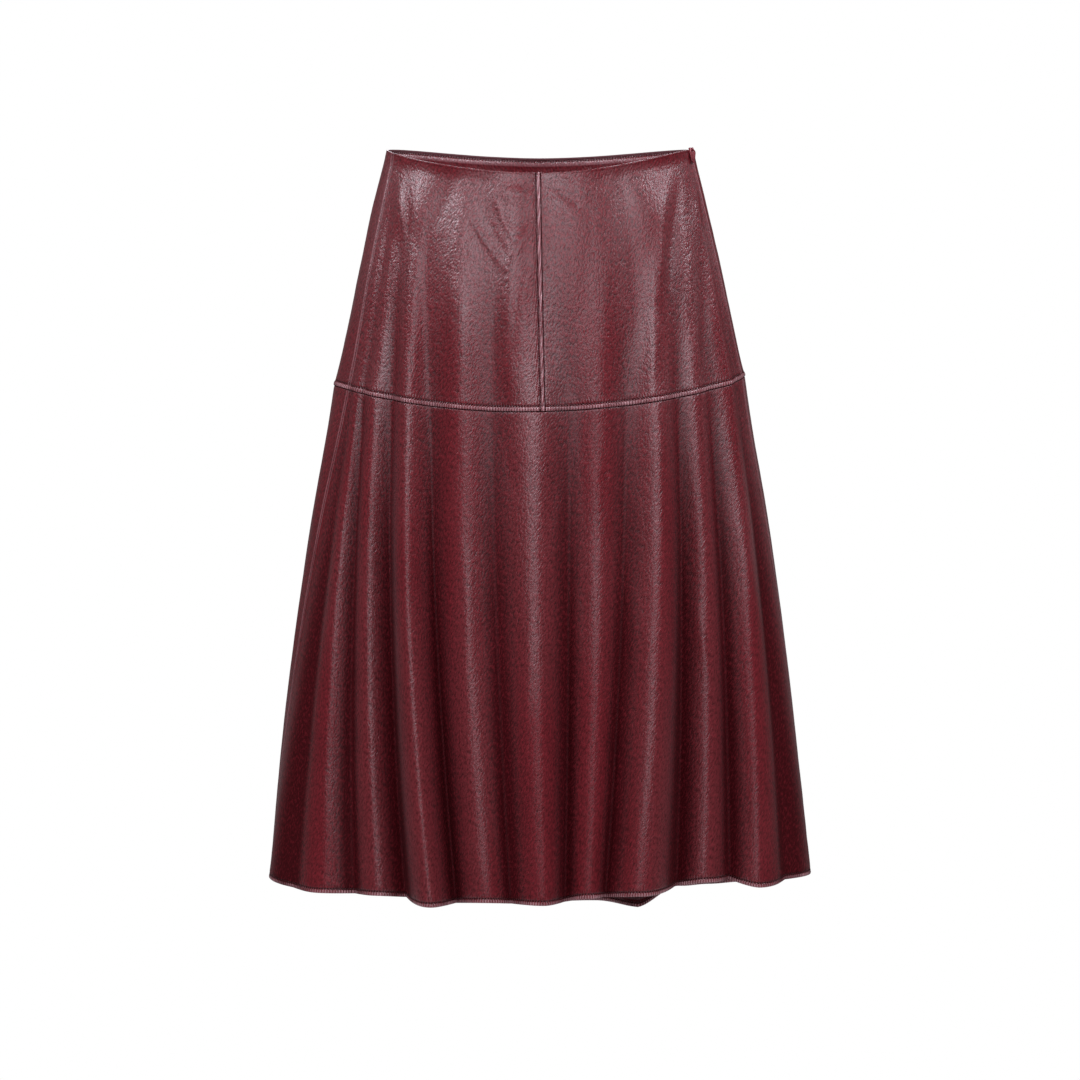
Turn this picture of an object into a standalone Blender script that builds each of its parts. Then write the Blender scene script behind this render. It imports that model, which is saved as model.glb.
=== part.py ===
"""Leather skirt: a burgundy A-line midi skirt, hollow, as it hangs from its waist.

The front faces -Y and +Z is up. The origin is the centre of the waist opening, level with the tops of the
side seams. Left and right are the wearer's, so the left side is at +X. Every place on the cloth is given by
an angle round the body, from the centre front towards the left side, and by a level, which is 0 at the
waist, 1 at the yoke seam and 2 at the hem.
"""

import math
from collections import namedtuple

import bmesh
import bpy
from mathutils import Matrix, Vector

# Driving sizes, in metres unless the name says otherwise.
MM = 0.001
WALL = 1.4 * MM
GAP = 0.3 * MM
YOKE_DEPTH = 243 * MM
SKIRT_DEPTH = 525 * MM
WAIST_DIP_FRONT = 30.5 * MM
WAIST_DIP_BACK = 1.5 * MM
WAIST_SWELL_BACK = 9.5 * MM
WAIST_DIP_POWER_RIGHT = 1.5
WAIST_DIP_POWER_LEFT = 2.2
SEAM_DIP_FRONT = 36 * MM
SEAM_DIP_BACK = 14 * MM
SEAM_DIP_POWER_RIGHT = 1.75
SEAM_DIP_POWER_LEFT = 1.4
SEAM_TILT = 5 * MM
FOLD_GROWTH_POWER = 2
YOKE_FOLD_POWER = 1.5

SEAM_WELT_WIDTH = 6 * MM
CENTRE_WELT_WIDTH = 5 * MM
WELT_RISE = 0.9 * MM
CENTRE_SEAM_ANGLE_WAIST = 0.0
CENTRE_SEAM_ANGLE_YOKE = 1.3

FACING_WALL = 1.0 * MM
FACING_TOP = 2.5 * MM
FACING_DEPTH = 40 * MM
ZIP_TAPE_WALL = 1.0 * MM
ZIP_TAPE_WIDTH = 20 * MM
ZIP_TAPE_TOP = 6 * MM
ZIP_LENGTH = 190 * MM

# Mesh fineness.
COLUMNS_PER_FOLD_LINE = 4
SKIRT_ROWS = 10
YOKE_ROWS = 5
FRONT_YOKE_COLUMNS = 22
BACK_YOKE_COLUMNS = 44
FACING_ROWS = 2
ZIP_TAPE_ROWS = 8

# The skirt's girth at five levels: half its width, and how far it stands out in front and behind.
Section = namedtuple("Section", "level half_width front_depth back_depth")
SECTIONS = (
    Section(0.0, 161.8 * MM, 62 * MM, 62 * MM),
    Section(0.5, 189.3 * MM, 81 * MM, 90 * MM),
    Section(1.0, 215.2 * MM, 92 * MM, 104 * MM),
    Section(1.3, 239.5 * MM, 98 * MM, 106 * MM),
    Section(1.65, 264.5 * MM, 104 * MM, 109 * MM),
    Section(2.0, 285.5 * MM, 110 * MM, 113 * MM),
)

# The lines that run down the cloth, in order round the body: the crests and valleys of the folds between the
# two side seams. Angles are in degrees at the waist, the yoke seam and the hem. A rise is how far the line
# stands out from the smooth girth (in if negative), and hem is its height there, both in millimetres.
# Crease says how tight a valley is, from 0, soft, to 1.
Line = namedtuple("Line", "kind waist yoke_seam hem_angle rise_seam rise_hem crease hem")
FRONT_LINES = (
    Line("side seam", -71, -68.5, -93, 0, 0, 0.0, -766),
    Line("valley", -69, -66, -64, 0, 1, 0.5, -772),
    Line("crest", -67, -62, -52, 1, 10, 0.0, -775),
    Line("valley", -64, -59, -43, -2, -10, 0.7, -776),
    Line("crest", -60, -53, -36, 3, 6, 0.0, -776),
    Line("valley", -55, -46.5, -29.8, -5, -18, 0.95, -779),
    Line("crest", -48, -39.5, -22.3, 7, 22, 0.0, -785),
    Line("valley", -39, -32, -18, -5, -16, 0.9, -784),
    Line("crest", -28, -22.5, -11, 3, 10, 0.0, -781),
    Line("valley", -19, -13.5, -6, -3, -6, 0.8, -783),
    Line("crest", -10, -2.5, 0.6, 4, 16, 0.0, -783),
    Line("valley", 3, 8, 5.2, -3, -14, 0.9, -782),
    Line("crest", 18, 16.5, 10, 2, 6, 0.0, -777),
    Line("valley", 32, 24.5, 13.7, -3, -10, 0.85, -779),
    Line("crest", 46, 34.5, 20.5, 7, 20, 0.0, -778),
    Line("valley", 53, 42, 30.5, -4, -22, 0.95, -768),
    Line("crest", 59, 49, 37, 2, 2, 0.0, -763),
    Line("valley", 66, 55.5, 44.5, -3, -14, 0.95, -762),
    Line("crest", 71, 65, 51, 4, 14, 0.0, -769),
    Line("valley", 74, 72, 64, 0, -2, 0.5, -764),
    Line("side seam", 76, 80, 92, 0, 0, 0.0, -762),
)
BACK_LINES = (
    Line("side seam", 76, 80, 92, 0, 0, 0.0, -762),
    Line("crest", 92, 95, 104, 1, 6, 0.0, -766),
    Line("valley", 103, 106, 116, -1, -8, 0.7, -772),
    Line("crest", 117, 121, 131, 3, 13, 0.0, -780),
    Line("valley", 127, 131, 140, 0, -3, 0.0, -782),
    Line("crest", 136, 140, 148.5, 2, 5, 0.0, -786),
    Line("valley", 145, 149, 157.5, -3, -22, 0.0, -807),
    Line("crest", 155, 159, 168, 3, 12, 0.0, -804),
    Line("valley", 165, 169, 177, -2, -12, 0.8, -803),
    Line("crest", 180, 183, 189, 4, 16, 0.0, -802),
    Line("valley", 195, 197, 201, -3, -16, 0.85, -798),
    Line("crest", 209, 210, 213, 4, 18, 0.0, -794),
    Line("valley", 223, 223, 224, -2, -10, 0.8, -788),
    Line("crest", 237, 237, 236, 3, 12, 0.0, -781),
    Line("valley", 250, 250, 246, -2, -12, 0.7, -775),
    Line("crest", 264, 263, 256, 2, 8, 0.0, -770),
    Line("side seam", 289, 291.5, 267, 0, 0, 0.0, -766),
)

# The zip's hardware, in its own directions: across, outwards and up.
SLIDER_WIDTH = 4.4 * MM
SLIDER_THICKNESS = 2.4 * MM
SLIDER_HEIGHT = 6.6 * MM
SLIDER_ROUNDING = 0.6 * MM
SLIDER_FRONT_BEHIND_AXIS = 1.15 * MM
LOOP_RADIUS = 1.75 * MM
LOOP_WIRE_RADIUS = 0.5 * MM
TAB_THICKNESS = 1.4 * MM
TAB_EDGE_ROUNDING = 0.3 * MM
TAB_HEAD_RADIUS = 4.0 * MM
TAB_TIP_RADIUS = 2.2 * MM
TAB_LENGTH = 14.9 * MM
TAB_BAR_HEIGHT = 1.1 * MM
TAB_EYE_WIDTH = 3.0 * MM
TAB_EYE_HEIGHT = 2.3 * MM
HINGE_DROP = 1.0 * MM
HINGE_STAND_OFF = 4.0 * MM
TAB_LEAN_DEG = 4
ZIP_TURN_TO_FRONT_DEG = 20

Finish = namedtuple("Finish", "name colour roughness metallic")
LEATHER = Finish("burgundy_leather", (0.105, 0.012, 0.017), 0.42, 0.0)
FACING_LEATHER = Finish("facing_leather", (0.115, 0.016, 0.021), 0.45, 0.0)
TAPE = Finish("zip_tape_weave", (0.060, 0.010, 0.014), 0.85, 0.0)
PAINTED_ZINC = Finish("painted_zinc", (0.110, 0.016, 0.022), 0.30, 0.4)


def mix(start, end, share):
    """The value a share of the way from start to end."""
    return start + (end - start) * share


def clear_scene():
    """Take every object out of the scene."""
    for item in list(bpy.data.objects):
        bpy.data.objects.remove(item, do_unlink=True)


def make_collection(name):
    """A new collection in the scene."""
    collection = bpy.data.collections.new(name)
    bpy.context.scene.collection.children.link(collection)
    return collection


def make_material(finish):
    """A Principled material of a finish, made once and shared."""
    material = bpy.data.materials.get(finish.name)
    if material is None:
        material = bpy.data.materials.new(finish.name)
        material.use_nodes = True
        shader = material.node_tree.nodes["Principled BSDF"]
        shader.inputs["Base Color"].default_value = (*finish.colour, 1.0)
        shader.inputs["Roughness"].default_value = finish.roughness
        shader.inputs["Metallic"].default_value = finish.metallic
    return material


def girth_at(level):
    """Half width, front depth and back depth at a level, on a smooth curve through the sections."""
    last = len(SECTIONS) - 1
    index = max(i for i in range(last) if SECTIONS[i].level <= level or i == 0)
    here, there = SECTIONS[index], SECTIONS[index + 1]
    span = there.level - here.level
    share = (level - here.level) / span
    sizes = []
    for column in ("half_width", "front_depth", "back_depth"):
        slopes = []
        for i in (index, index + 1):
            before, after = SECTIONS[max(i - 1, 0)], SECTIONS[min(i + 1, last)]
            rise = getattr(after, column) - getattr(before, column)
            slopes.append(rise / (after.level - before.level) * span)
        start, end = getattr(here, column), getattr(there, column)
        square, cube = share ** 2, share ** 3
        sizes.append(
            start * (2 * cube - 3 * square + 1)
            + slopes[0] * (cube - 2 * square + share)
            + end * (3 * square - 2 * cube)
            + slopes[1] * (cube - square)
        )
    return sizes


def line_angle(line, level):
    """Where a line of the cloth stands round the body at a level, in degrees."""
    if level < 1:
        return mix(line.waist, line.yoke_seam, level)
    return mix(line.yoke_seam, line.hem_angle, level - 1)


def fold_growth(level):
    """How far the folds have opened at a level: nothing at the yoke seam, 1 at the hem."""
    return 1 - max(2 - max(level, 1), 0) ** FOLD_GROWTH_POWER


def line_rise(line, level):
    """How far a line stands out from the smooth girth at a level."""
    if level < 1:
        return line.rise_seam * MM * max(level, 0) ** YOKE_FOLD_POWER
    return mix(line.rise_seam, line.rise_hem, fold_growth(level)) * MM


def fold_place(lines, coordinate, level):
    """Angle, rise and hem height at a place counted in fold lines, such as 2.5 between the third and fourth."""
    index = min(max(int(coordinate), 0), len(lines) - 2)
    share = coordinate - index
    here, there = lines[index], lines[index + 1]
    from_valley = here.kind == "valley"
    valley = here if from_valley else there
    tightness = valley.crease * fold_growth(level)
    way = share if from_valley else 1 - share
    out = mix((1 - math.cos(math.pi * way)) / 2, math.sin(math.pi * way / 2), tightness)
    if not from_valley:
        out = 1 - out
    angle = mix(line_angle(here, level), line_angle(there, level), share)
    rise = mix(line_rise(here, level), line_rise(there, level), out)
    hem = mix(here.hem, there.hem, out) * MM
    return angle, rise, hem


def coordinate_at(lines, angle, level):
    """The place in fold lines of an angle at a level on the yoke."""
    angles = [line_angle(line, level) for line in lines]
    index = max(i for i in range(len(lines) - 1) if angles[i] <= angle or i == 0)
    return index + (angle - angles[index]) / (angles[index + 1] - angles[index])


def height(angle_deg, level, hem):
    """How high the cloth stands at an angle and level."""
    facing = math.cos(math.radians(angle_deg))
    sideways = math.sin(math.radians(angle_deg))
    waist_power = WAIST_DIP_POWER_LEFT if sideways > 0 else WAIST_DIP_POWER_RIGHT
    seam_power = SEAM_DIP_POWER_LEFT if sideways > 0 else SEAM_DIP_POWER_RIGHT
    if facing > 0:
        waist = -WAIST_DIP_FRONT * facing ** waist_power
        seam_dip = SEAM_DIP_FRONT * facing ** seam_power
    else:
        behind = -facing
        waist = WAIST_SWELL_BACK * behind * (1 - behind ** 2) - WAIST_DIP_BACK * behind ** 2
        seam_dip = SEAM_DIP_BACK * behind ** seam_power
    seam = -YOKE_DEPTH - seam_dip + SEAM_TILT * sideways
    if level < 1:
        return mix(waist, seam, level)
    return mix(seam, hem, level - 1)


def outward(angle_deg, level):
    """The level direction that points out of the smooth girth."""
    half_width, front_depth, back_depth = girth_at(level)
    angle = math.radians(angle_deg)
    depth = front_depth if math.cos(angle) > 0 else back_depth
    return Vector((math.sin(angle) / half_width, -math.cos(angle) / depth, 0)).normalized()


def on_girth(level, angle_deg, rise, hem):
    """The point of the cloth's outer side at a level, angle and rise."""
    half_width, front_depth, back_depth = girth_at(level)
    angle = math.radians(angle_deg)
    depth = front_depth if math.cos(angle) > 0 else back_depth
    base = Vector((half_width * math.sin(angle), -depth * math.cos(angle), height(angle_deg, level, hem)))
    return base + outward(angle_deg, level) * rise


def skirt_point(lines, coordinate, level):
    """The point of the flared part's outer side at a place counted in fold lines."""
    return on_girth(level, *fold_place(lines, coordinate, level))


def yoke_point(lines, angle_deg, level, lift=0.0):
    """The point of a yoke's outer side at an angle, moved out by lift."""
    coordinate = coordinate_at(lines, angle_deg, level)
    angle, rise, hem = fold_place(lines, coordinate, level)
    return on_girth(level, angle, rise + lift, hem)


def yoke_normal(lines, angle_deg, level):
    """The direction out of a yoke's outer side, across its slope as well as its girth."""
    step_angle, step_level = 0.2, 0.005
    along = yoke_point(lines, angle_deg + step_angle, level) - yoke_point(lines, angle_deg - step_angle, level)
    down = yoke_point(lines, angle_deg, level + step_level) - yoke_point(lines, angle_deg, level)
    return down.cross(along).normalized()


def degrees_for(distance, angle_deg, level):
    """The angle that a short distance round the girth takes up."""
    half_width, front_depth, back_depth = girth_at(level)
    angle = math.radians(angle_deg)
    depth = front_depth if math.cos(angle) > 0 else back_depth
    return math.degrees(distance / math.hypot(half_width * math.cos(angle), depth * math.sin(angle)))


def spaced(start, end, steps):
    """Evenly spaced values from start to end, both included."""
    return [mix(start, end, i / steps) for i in range(steps + 1)]


def welt_rise(distance, width):
    """The puffed height of a turned and topstitched edge, at a distance from its seam."""
    if distance >= width:
        return 0.0
    return WELT_RISE * math.sin(math.pi * (0.08 + 0.92 * distance / width))


def cloth_panel(collection, name, columns, levels, place, wall, finish):
    """A sheet of cloth: a grid set point by point, column round the body and level down, made a wall."""
    sheet = bmesh.new()
    across, down = len(columns) - 1, len(levels) - 1
    bmesh.ops.create_grid(sheet, x_segments=across, y_segments=down, size=0.5)
    for vertex in sheet.verts:
        column = columns[round((vertex.co.x + 0.5) * across)]
        level = levels[round((0.5 - vertex.co.y) * down)]
        vertex.co = place(column, level)
    mesh = bpy.data.meshes.new(name)
    sheet.to_mesh(mesh)
    sheet.free()
    mesh.shade_smooth()
    panel = bpy.data.objects.new(name, mesh)
    collection.objects.link(panel)
    mesh.materials.append(make_material(finish))
    solidify = panel.modifiers.new("wall", "SOLIDIFY")
    solidify.thickness = wall
    solidify.offset = -1
    return panel


def make_flared_panel(collection, name, lines):
    """The flared lower front or back, between the side seams, in its folds."""
    count = len(lines) - 1
    coordinates = spaced(0, count, count * COLUMNS_PER_FOLD_LINE)
    levels = spaced(1 + GAP / 2 / SKIRT_DEPTH, 2, SKIRT_ROWS)

    def place(coordinate, level):
        point = skirt_point(lines, coordinate, level)
        if coordinate in (0, count):
            inner = skirt_point(lines, coordinate + (0.01 if coordinate == 0 else -0.01), level)
            point = point + (inner - point).normalized() * GAP / 2
        return point

    return cloth_panel(collection, name, coordinates, levels, place, WALL, LEATHER)


def yoke_levels():
    """The levels of a yoke's rows, closer together on the welt along its lower seam."""
    welt = [1 - SEAM_WELT_WIDTH / YOKE_DEPTH * share for share in (1, 0.75, 0.45, 0.2)]
    return spaced(0, welt[0], YOKE_ROWS) + welt[1:] + [1 - GAP / 2 / YOKE_DEPTH]


def yoke_lift(level):
    """How far the welt above the yoke seam stands out."""
    return welt_rise((1 - level) * YOKE_DEPTH, SEAM_WELT_WIDTH)


def centre_seam_angle(level):
    """The angle of the centre-front seam, which hangs a little aslant."""
    return mix(CENTRE_SEAM_ANGLE_WAIST, CENTRE_SEAM_ANGLE_YOKE, level)


def make_front_yoke_right(collection):
    """The right half of the front yoke, whose turned edge makes the welt beside the centre seam."""
    welt_columns = [1 - share for share in (1, 0.75, 0.5, 0.25, 0)]
    columns = [(share, 0.0) for share in spaced(0, 1, FRONT_YOKE_COLUMNS)] + [(1.0, w) for w in welt_columns[1:]]

    def place(column, level):
        share, welt_share = column
        side = line_angle(FRONT_LINES[0], level)
        side += degrees_for(GAP / 2, side, level)
        centre = centre_seam_angle(level)
        centre -= degrees_for(GAP / 2, centre, level)
        welt = degrees_for(CENTRE_WELT_WIDTH, centre, level)
        angle = mix(side, centre - welt, share) + welt * welt_share
        lift = yoke_lift(level)
        if share == 1.0:
            lift = max(lift, welt_rise((1 - welt_share) * CENTRE_WELT_WIDTH, CENTRE_WELT_WIDTH))
        return yoke_point(FRONT_LINES, angle, level, lift)

    return cloth_panel(collection, "front_yoke_right", columns, yoke_levels(), place, WALL, LEATHER)


def make_front_yoke_left(collection):
    """The left half of the front yoke."""

    def place(share, level):
        side = line_angle(FRONT_LINES[-1], level)
        side -= degrees_for(GAP / 2, side, level)
        centre = centre_seam_angle(level)
        centre += degrees_for(GAP / 2, centre, level)
        return yoke_point(FRONT_LINES, mix(centre, side, share), level, yoke_lift(level))

    columns = spaced(0, 1, FRONT_YOKE_COLUMNS)
    return cloth_panel(collection, "front_yoke_left", columns, yoke_levels(), place, WALL, LEATHER)


def back_sides(level, margin_left, margin_right):
    """The angles where a piece of the back starts and ends, each a distance in from its side seam."""
    left = line_angle(BACK_LINES[0], level)
    right = line_angle(BACK_LINES[-1], level)
    return left + degrees_for(margin_left, left, level), right - degrees_for(margin_right, right, level)


def make_back_yoke(collection):
    """The back yoke, cut in one."""

    def place(share, level):
        start, end = back_sides(level, GAP / 2, GAP / 2)
        return yoke_point(BACK_LINES, mix(start, end, share), level, yoke_lift(level))

    columns = spaced(0, 1, BACK_YOKE_COLUMNS)
    return cloth_panel(collection, "back_yoke", columns, yoke_levels(), place, WALL, LEATHER)


def make_back_waist_facing(collection):
    """The strip inside the back waist, under the rolled edge, which stops clear of the zip's tape."""

    def place(share, level):
        start, end = back_sides(level, ZIP_TAPE_WIDTH / 2 + WALL, WALL)
        angle = mix(start, end, share)
        inwards = yoke_normal(BACK_LINES, angle, level) * (WALL + GAP)
        return yoke_point(BACK_LINES, angle, level) - inwards

    columns = spaced(0, 1, BACK_YOKE_COLUMNS)
    levels = spaced(FACING_TOP / YOKE_DEPTH, (FACING_TOP + FACING_DEPTH) / YOKE_DEPTH, FACING_ROWS)
    return cloth_panel(collection, "back_waist_facing", columns, levels, place, FACING_WALL, FACING_LEATHER)


def make_zip_tape(collection):
    """The concealed zip's tape, inside the left side seam and lying on both yokes."""
    columns = spaced(-ZIP_TAPE_WIDTH / 2, ZIP_TAPE_WIDTH / 2, 6)
    levels = spaced(ZIP_TAPE_TOP / YOKE_DEPTH, (ZIP_TAPE_TOP + ZIP_LENGTH) / YOKE_DEPTH, ZIP_TAPE_ROWS)

    def place(distance, level):
        seam = line_angle(FRONT_LINES[-1], level)
        lines = FRONT_LINES if distance < 0 else BACK_LINES
        angle = seam + degrees_for(distance, seam, level)
        inwards = yoke_normal(lines, angle, level) * (WALL + GAP)
        return yoke_point(lines, angle, level) - inwards

    return cloth_panel(collection, "zip_tape", columns, levels, place, ZIP_TAPE_WALL, TAPE)


def zip_frame():
    """The zip hardware's directions as a matrix: across, outwards and up the seam, from the hinge's axis."""
    level = HINGE_DROP / YOKE_DEPTH
    seam = line_angle(FRONT_LINES[-1], level)
    out = yoke_normal(BACK_LINES, seam + 1, level)
    out.rotate(Matrix.Rotation(-math.radians(ZIP_TURN_TO_FRONT_DEG), 3, "Z"))
    across = out.cross(Vector((0, 0, 1))).normalized()
    up = across.cross(out)
    frame = Matrix((across, out, up)).transposed().to_4x4()
    frame.translation = yoke_point(FRONT_LINES, seam, level) + out * HINGE_STAND_OFF
    return frame


def make_hinge(collection, frame):
    """The empty that stands on the pull tab's axis."""
    hinge = bpy.data.objects.new("pull_tab_hinge", None)
    hinge.empty_display_size = 5 * MM
    hinge.matrix_world = frame
    collection.objects.link(hinge)
    return hinge


def make_zip_slider(collection, frame):
    """The slider: a rounded block on the seam with a wire loop that holds the tab's bar."""
    middle = -SLIDER_FRONT_BEHIND_AXIS - SLIDER_THICKNESS / 2
    bpy.ops.mesh.primitive_cube_add(size=1)
    slider = bpy.context.object
    slider.name = "zip_slider"
    slider.data.transform(Matrix.Diagonal((SLIDER_WIDTH, SLIDER_THICKNESS, SLIDER_HEIGHT, 1)))
    slider.data.transform(Matrix.Translation((0, middle, SLIDER_ROUNDING - SLIDER_HEIGHT / 2 + LOOP_RADIUS)))
    slider.matrix_world = frame
    bevel = slider.modifiers.new("rounding", "BEVEL")
    bevel.width = SLIDER_ROUNDING
    bevel.segments = 2
    bpy.ops.mesh.primitive_torus_add(
        major_radius=LOOP_RADIUS, minor_radius=LOOP_WIRE_RADIUS, major_segments=20, minor_segments=8
    )
    loop = bpy.context.object
    loop.name = "slider_loop_cutter"
    loop.data.transform(Matrix.Rotation(math.pi / 2, 4, "Y"))
    loop.matrix_world = frame
    join = slider.modifiers.new("loop", "BOOLEAN")
    join.operation = "UNION"
    join.object = loop
    slider.data.materials.append(make_material(PAINTED_ZINC))
    move_to(collection, slider)
    return slider, loop


def tab_outline():
    """The drop's outline: a wide head arc and a narrow tip arc joined by straight flanks."""
    top = TAB_BAR_HEIGHT / 2
    head = top - TAB_HEAD_RADIUS
    tip = top - TAB_LENGTH + TAB_TIP_RADIUS
    lean = math.asin((TAB_HEAD_RADIUS - TAB_TIP_RADIUS) / (head - tip))
    points = []
    for angle in spaced(-lean, math.pi + lean, 16):
        points.append((TAB_HEAD_RADIUS * math.cos(angle), head + TAB_HEAD_RADIUS * math.sin(angle)))
    for angle in spaced(math.pi + lean, 2 * math.pi - lean, 10):
        points.append((TAB_TIP_RADIUS * math.cos(angle), tip + TAB_TIP_RADIUS * math.sin(angle)))
    return points


def eye_outline():
    """The slot under the tab's bar that the slider's loop passes through."""
    radius = TAB_EYE_HEIGHT / 2
    middle = -TAB_BAR_HEIGHT / 2 - radius
    reach = TAB_EYE_WIDTH / 2 - radius
    points = []
    for start, side in ((-math.pi / 2, 1), (math.pi / 2, -1)):
        for angle in spaced(start, start + math.pi, 6):
            points.append((side * reach + radius * math.cos(angle), middle + radius * math.sin(angle)))
    return points


def make_pull_tab(collection, hinge):
    """The drop-shaped pull tab, a flat plate with rounded edges that hangs by its bar on the slider."""
    outline = bpy.data.curves.new("zip_pull_tab", "CURVE")
    outline.dimensions = "2D"
    outline.fill_mode = "BOTH"
    outline.extrude = TAB_THICKNESS / 2 - TAB_EDGE_ROUNDING
    outline.bevel_depth = TAB_EDGE_ROUNDING
    outline.bevel_resolution = 1
    outline.offset = -TAB_EDGE_ROUNDING
    for points in (tab_outline(), eye_outline()):
        spline = outline.splines.new("POLY")
        spline.points.add(len(points) - 1)
        for target, (x, y) in zip(spline.points, points):
            target.co = (x, y, 0, 1)
        spline.use_cyclic_u = True
    tab = bpy.data.objects.new("zip_pull_tab", outline)
    outline.materials.append(make_material(PAINTED_ZINC))
    collection.objects.link(tab)
    tab.parent = hinge
    tab.matrix_local = Matrix.Rotation(math.pi / 2 - math.radians(TAB_LEAN_DEG), 4, "X")
    return tab


def move_to(collection, item):
    """Leave an object in one collection only."""
    for old in list(item.users_collection):
        old.objects.unlink(item)
    collection.objects.link(item)


def main():
    """Build the whole skirt."""
    clear_scene()
    skirt = make_collection("leather_skirt")
    cutters = make_collection("cutters")
    make_front_yoke_right(skirt)
    make_front_yoke_left(skirt)
    make_back_yoke(skirt)
    make_flared_panel(skirt, "front_skirt", FRONT_LINES)
    make_flared_panel(skirt, "back_skirt", BACK_LINES)
    make_back_waist_facing(skirt)
    make_zip_tape(skirt)
    frame = zip_frame()
    slider, loop = make_zip_slider(skirt, frame)
    move_to(cutters, loop)
    loop.hide_render = True
    loop.display_type = "WIRE"
    hinge = make_hinge(skirt, frame)
    make_pull_tab(skirt, hinge)


main()
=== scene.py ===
"""Leather skirt: the finished looks of a burgundy A-line midi skirt, laid over the solids that carry it.

The front faces -Y and +Z is up. The origin is the centre of the waist opening, level with the tops of the
side seams. Left and right are the wearer's, so the left side is at +X. Every place on the cloth is given by
an angle round the body, from the centre front towards the left side, and by a level, which is 0 at the
waist, 1 at the yoke seam and 2 at the hem.
"""

import math
from collections import namedtuple
from contextlib import contextmanager
from functools import lru_cache

import bpy
import numpy as np
from bpy.props import FloatProperty, FloatVectorProperty, PointerProperty
from mathutils import Matrix, Vector, noise


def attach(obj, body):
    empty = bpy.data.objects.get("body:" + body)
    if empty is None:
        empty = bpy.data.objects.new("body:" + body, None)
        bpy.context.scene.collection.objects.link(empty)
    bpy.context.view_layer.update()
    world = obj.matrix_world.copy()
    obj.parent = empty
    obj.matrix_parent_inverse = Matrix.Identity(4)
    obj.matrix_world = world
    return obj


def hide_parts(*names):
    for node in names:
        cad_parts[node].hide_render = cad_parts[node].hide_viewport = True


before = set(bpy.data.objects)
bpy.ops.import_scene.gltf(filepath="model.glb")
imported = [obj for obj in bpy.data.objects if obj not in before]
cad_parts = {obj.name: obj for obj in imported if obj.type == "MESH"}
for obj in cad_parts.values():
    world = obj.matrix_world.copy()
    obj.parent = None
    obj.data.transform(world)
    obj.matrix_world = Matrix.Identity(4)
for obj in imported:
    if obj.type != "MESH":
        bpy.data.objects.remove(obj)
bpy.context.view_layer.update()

bl_info = {
    "name": "Leather Skirt",
    "version": (1, 0, 0),
    "blender": (4, 5, 0),
    "location": "View3D > Sidebar > Skirt",
    "description": "Lays the finished leather, sewing and zip of an A-line midi skirt over its solids",
    "category": "Add Mesh",
}

MM = 0.001


def table(kind, rows):
    """The rows of a table, with named columns."""
    return tuple(kind(*row) for row in rows)


# ---- the cut, as the solids have it but for the seams' gaps and two heights of the front's hem

SOLIDS_WALL = 1.4 * MM
GAP = 0.06 * MM
SEAM_OVERLAP = 0.2 * MM
YOKE_DEPTH = 243 * MM
SKIRT_DEPTH = 525 * MM
WAIST_DIP_FRONT = 30.5 * MM
WAIST_DIP_BACK = 1.5 * MM
WAIST_SWELL_BACK = 9.5 * MM
WAIST_DIP_POWER_RIGHT = 1.5
WAIST_DIP_POWER_LEFT = 2.2
SEAM_DIP_FRONT = 36 * MM
SEAM_DIP_BACK = 14 * MM
SEAM_DIP_POWER_RIGHT = 1.75
SEAM_DIP_POWER_LEFT = 1.4
SEAM_TILT = 5 * MM
FOLD_GROWTH_POWER = 2
YOKE_FOLD_POWER = 1.5
CENTRE_SEAM_ANGLE_WAIST = 0.0
CENTRE_SEAM_ANGLE_YOKE = 1.3

FACING_TOP = 2.5 * MM
FACING_DEPTH = 40 * MM
FACING_WALL = 0.9 * MM
LEATHER_WALL = 1.0 * MM
ZIP_TAPE_WIDTH = 20 * MM
ZIP_TAPE_TOP = 6 * MM
ZIP_TAPE_WALL = 0.8 * MM
ZIP_LENGTH = 190 * MM

Section = namedtuple("Section", "level half_width front_depth back_depth")
SECTIONS = table(Section, (
    (0.0, 161.8 * MM, 62 * MM, 62 * MM),
    (0.5, 189.3 * MM, 81 * MM, 90 * MM),
    (1.0, 215.2 * MM, 92 * MM, 104 * MM),
    (1.3, 239.5 * MM, 98 * MM, 106 * MM),
    (1.65, 264.5 * MM, 104 * MM, 109 * MM),
    (2.0, 285.5 * MM, 110 * MM, 113 * MM),
))

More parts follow.
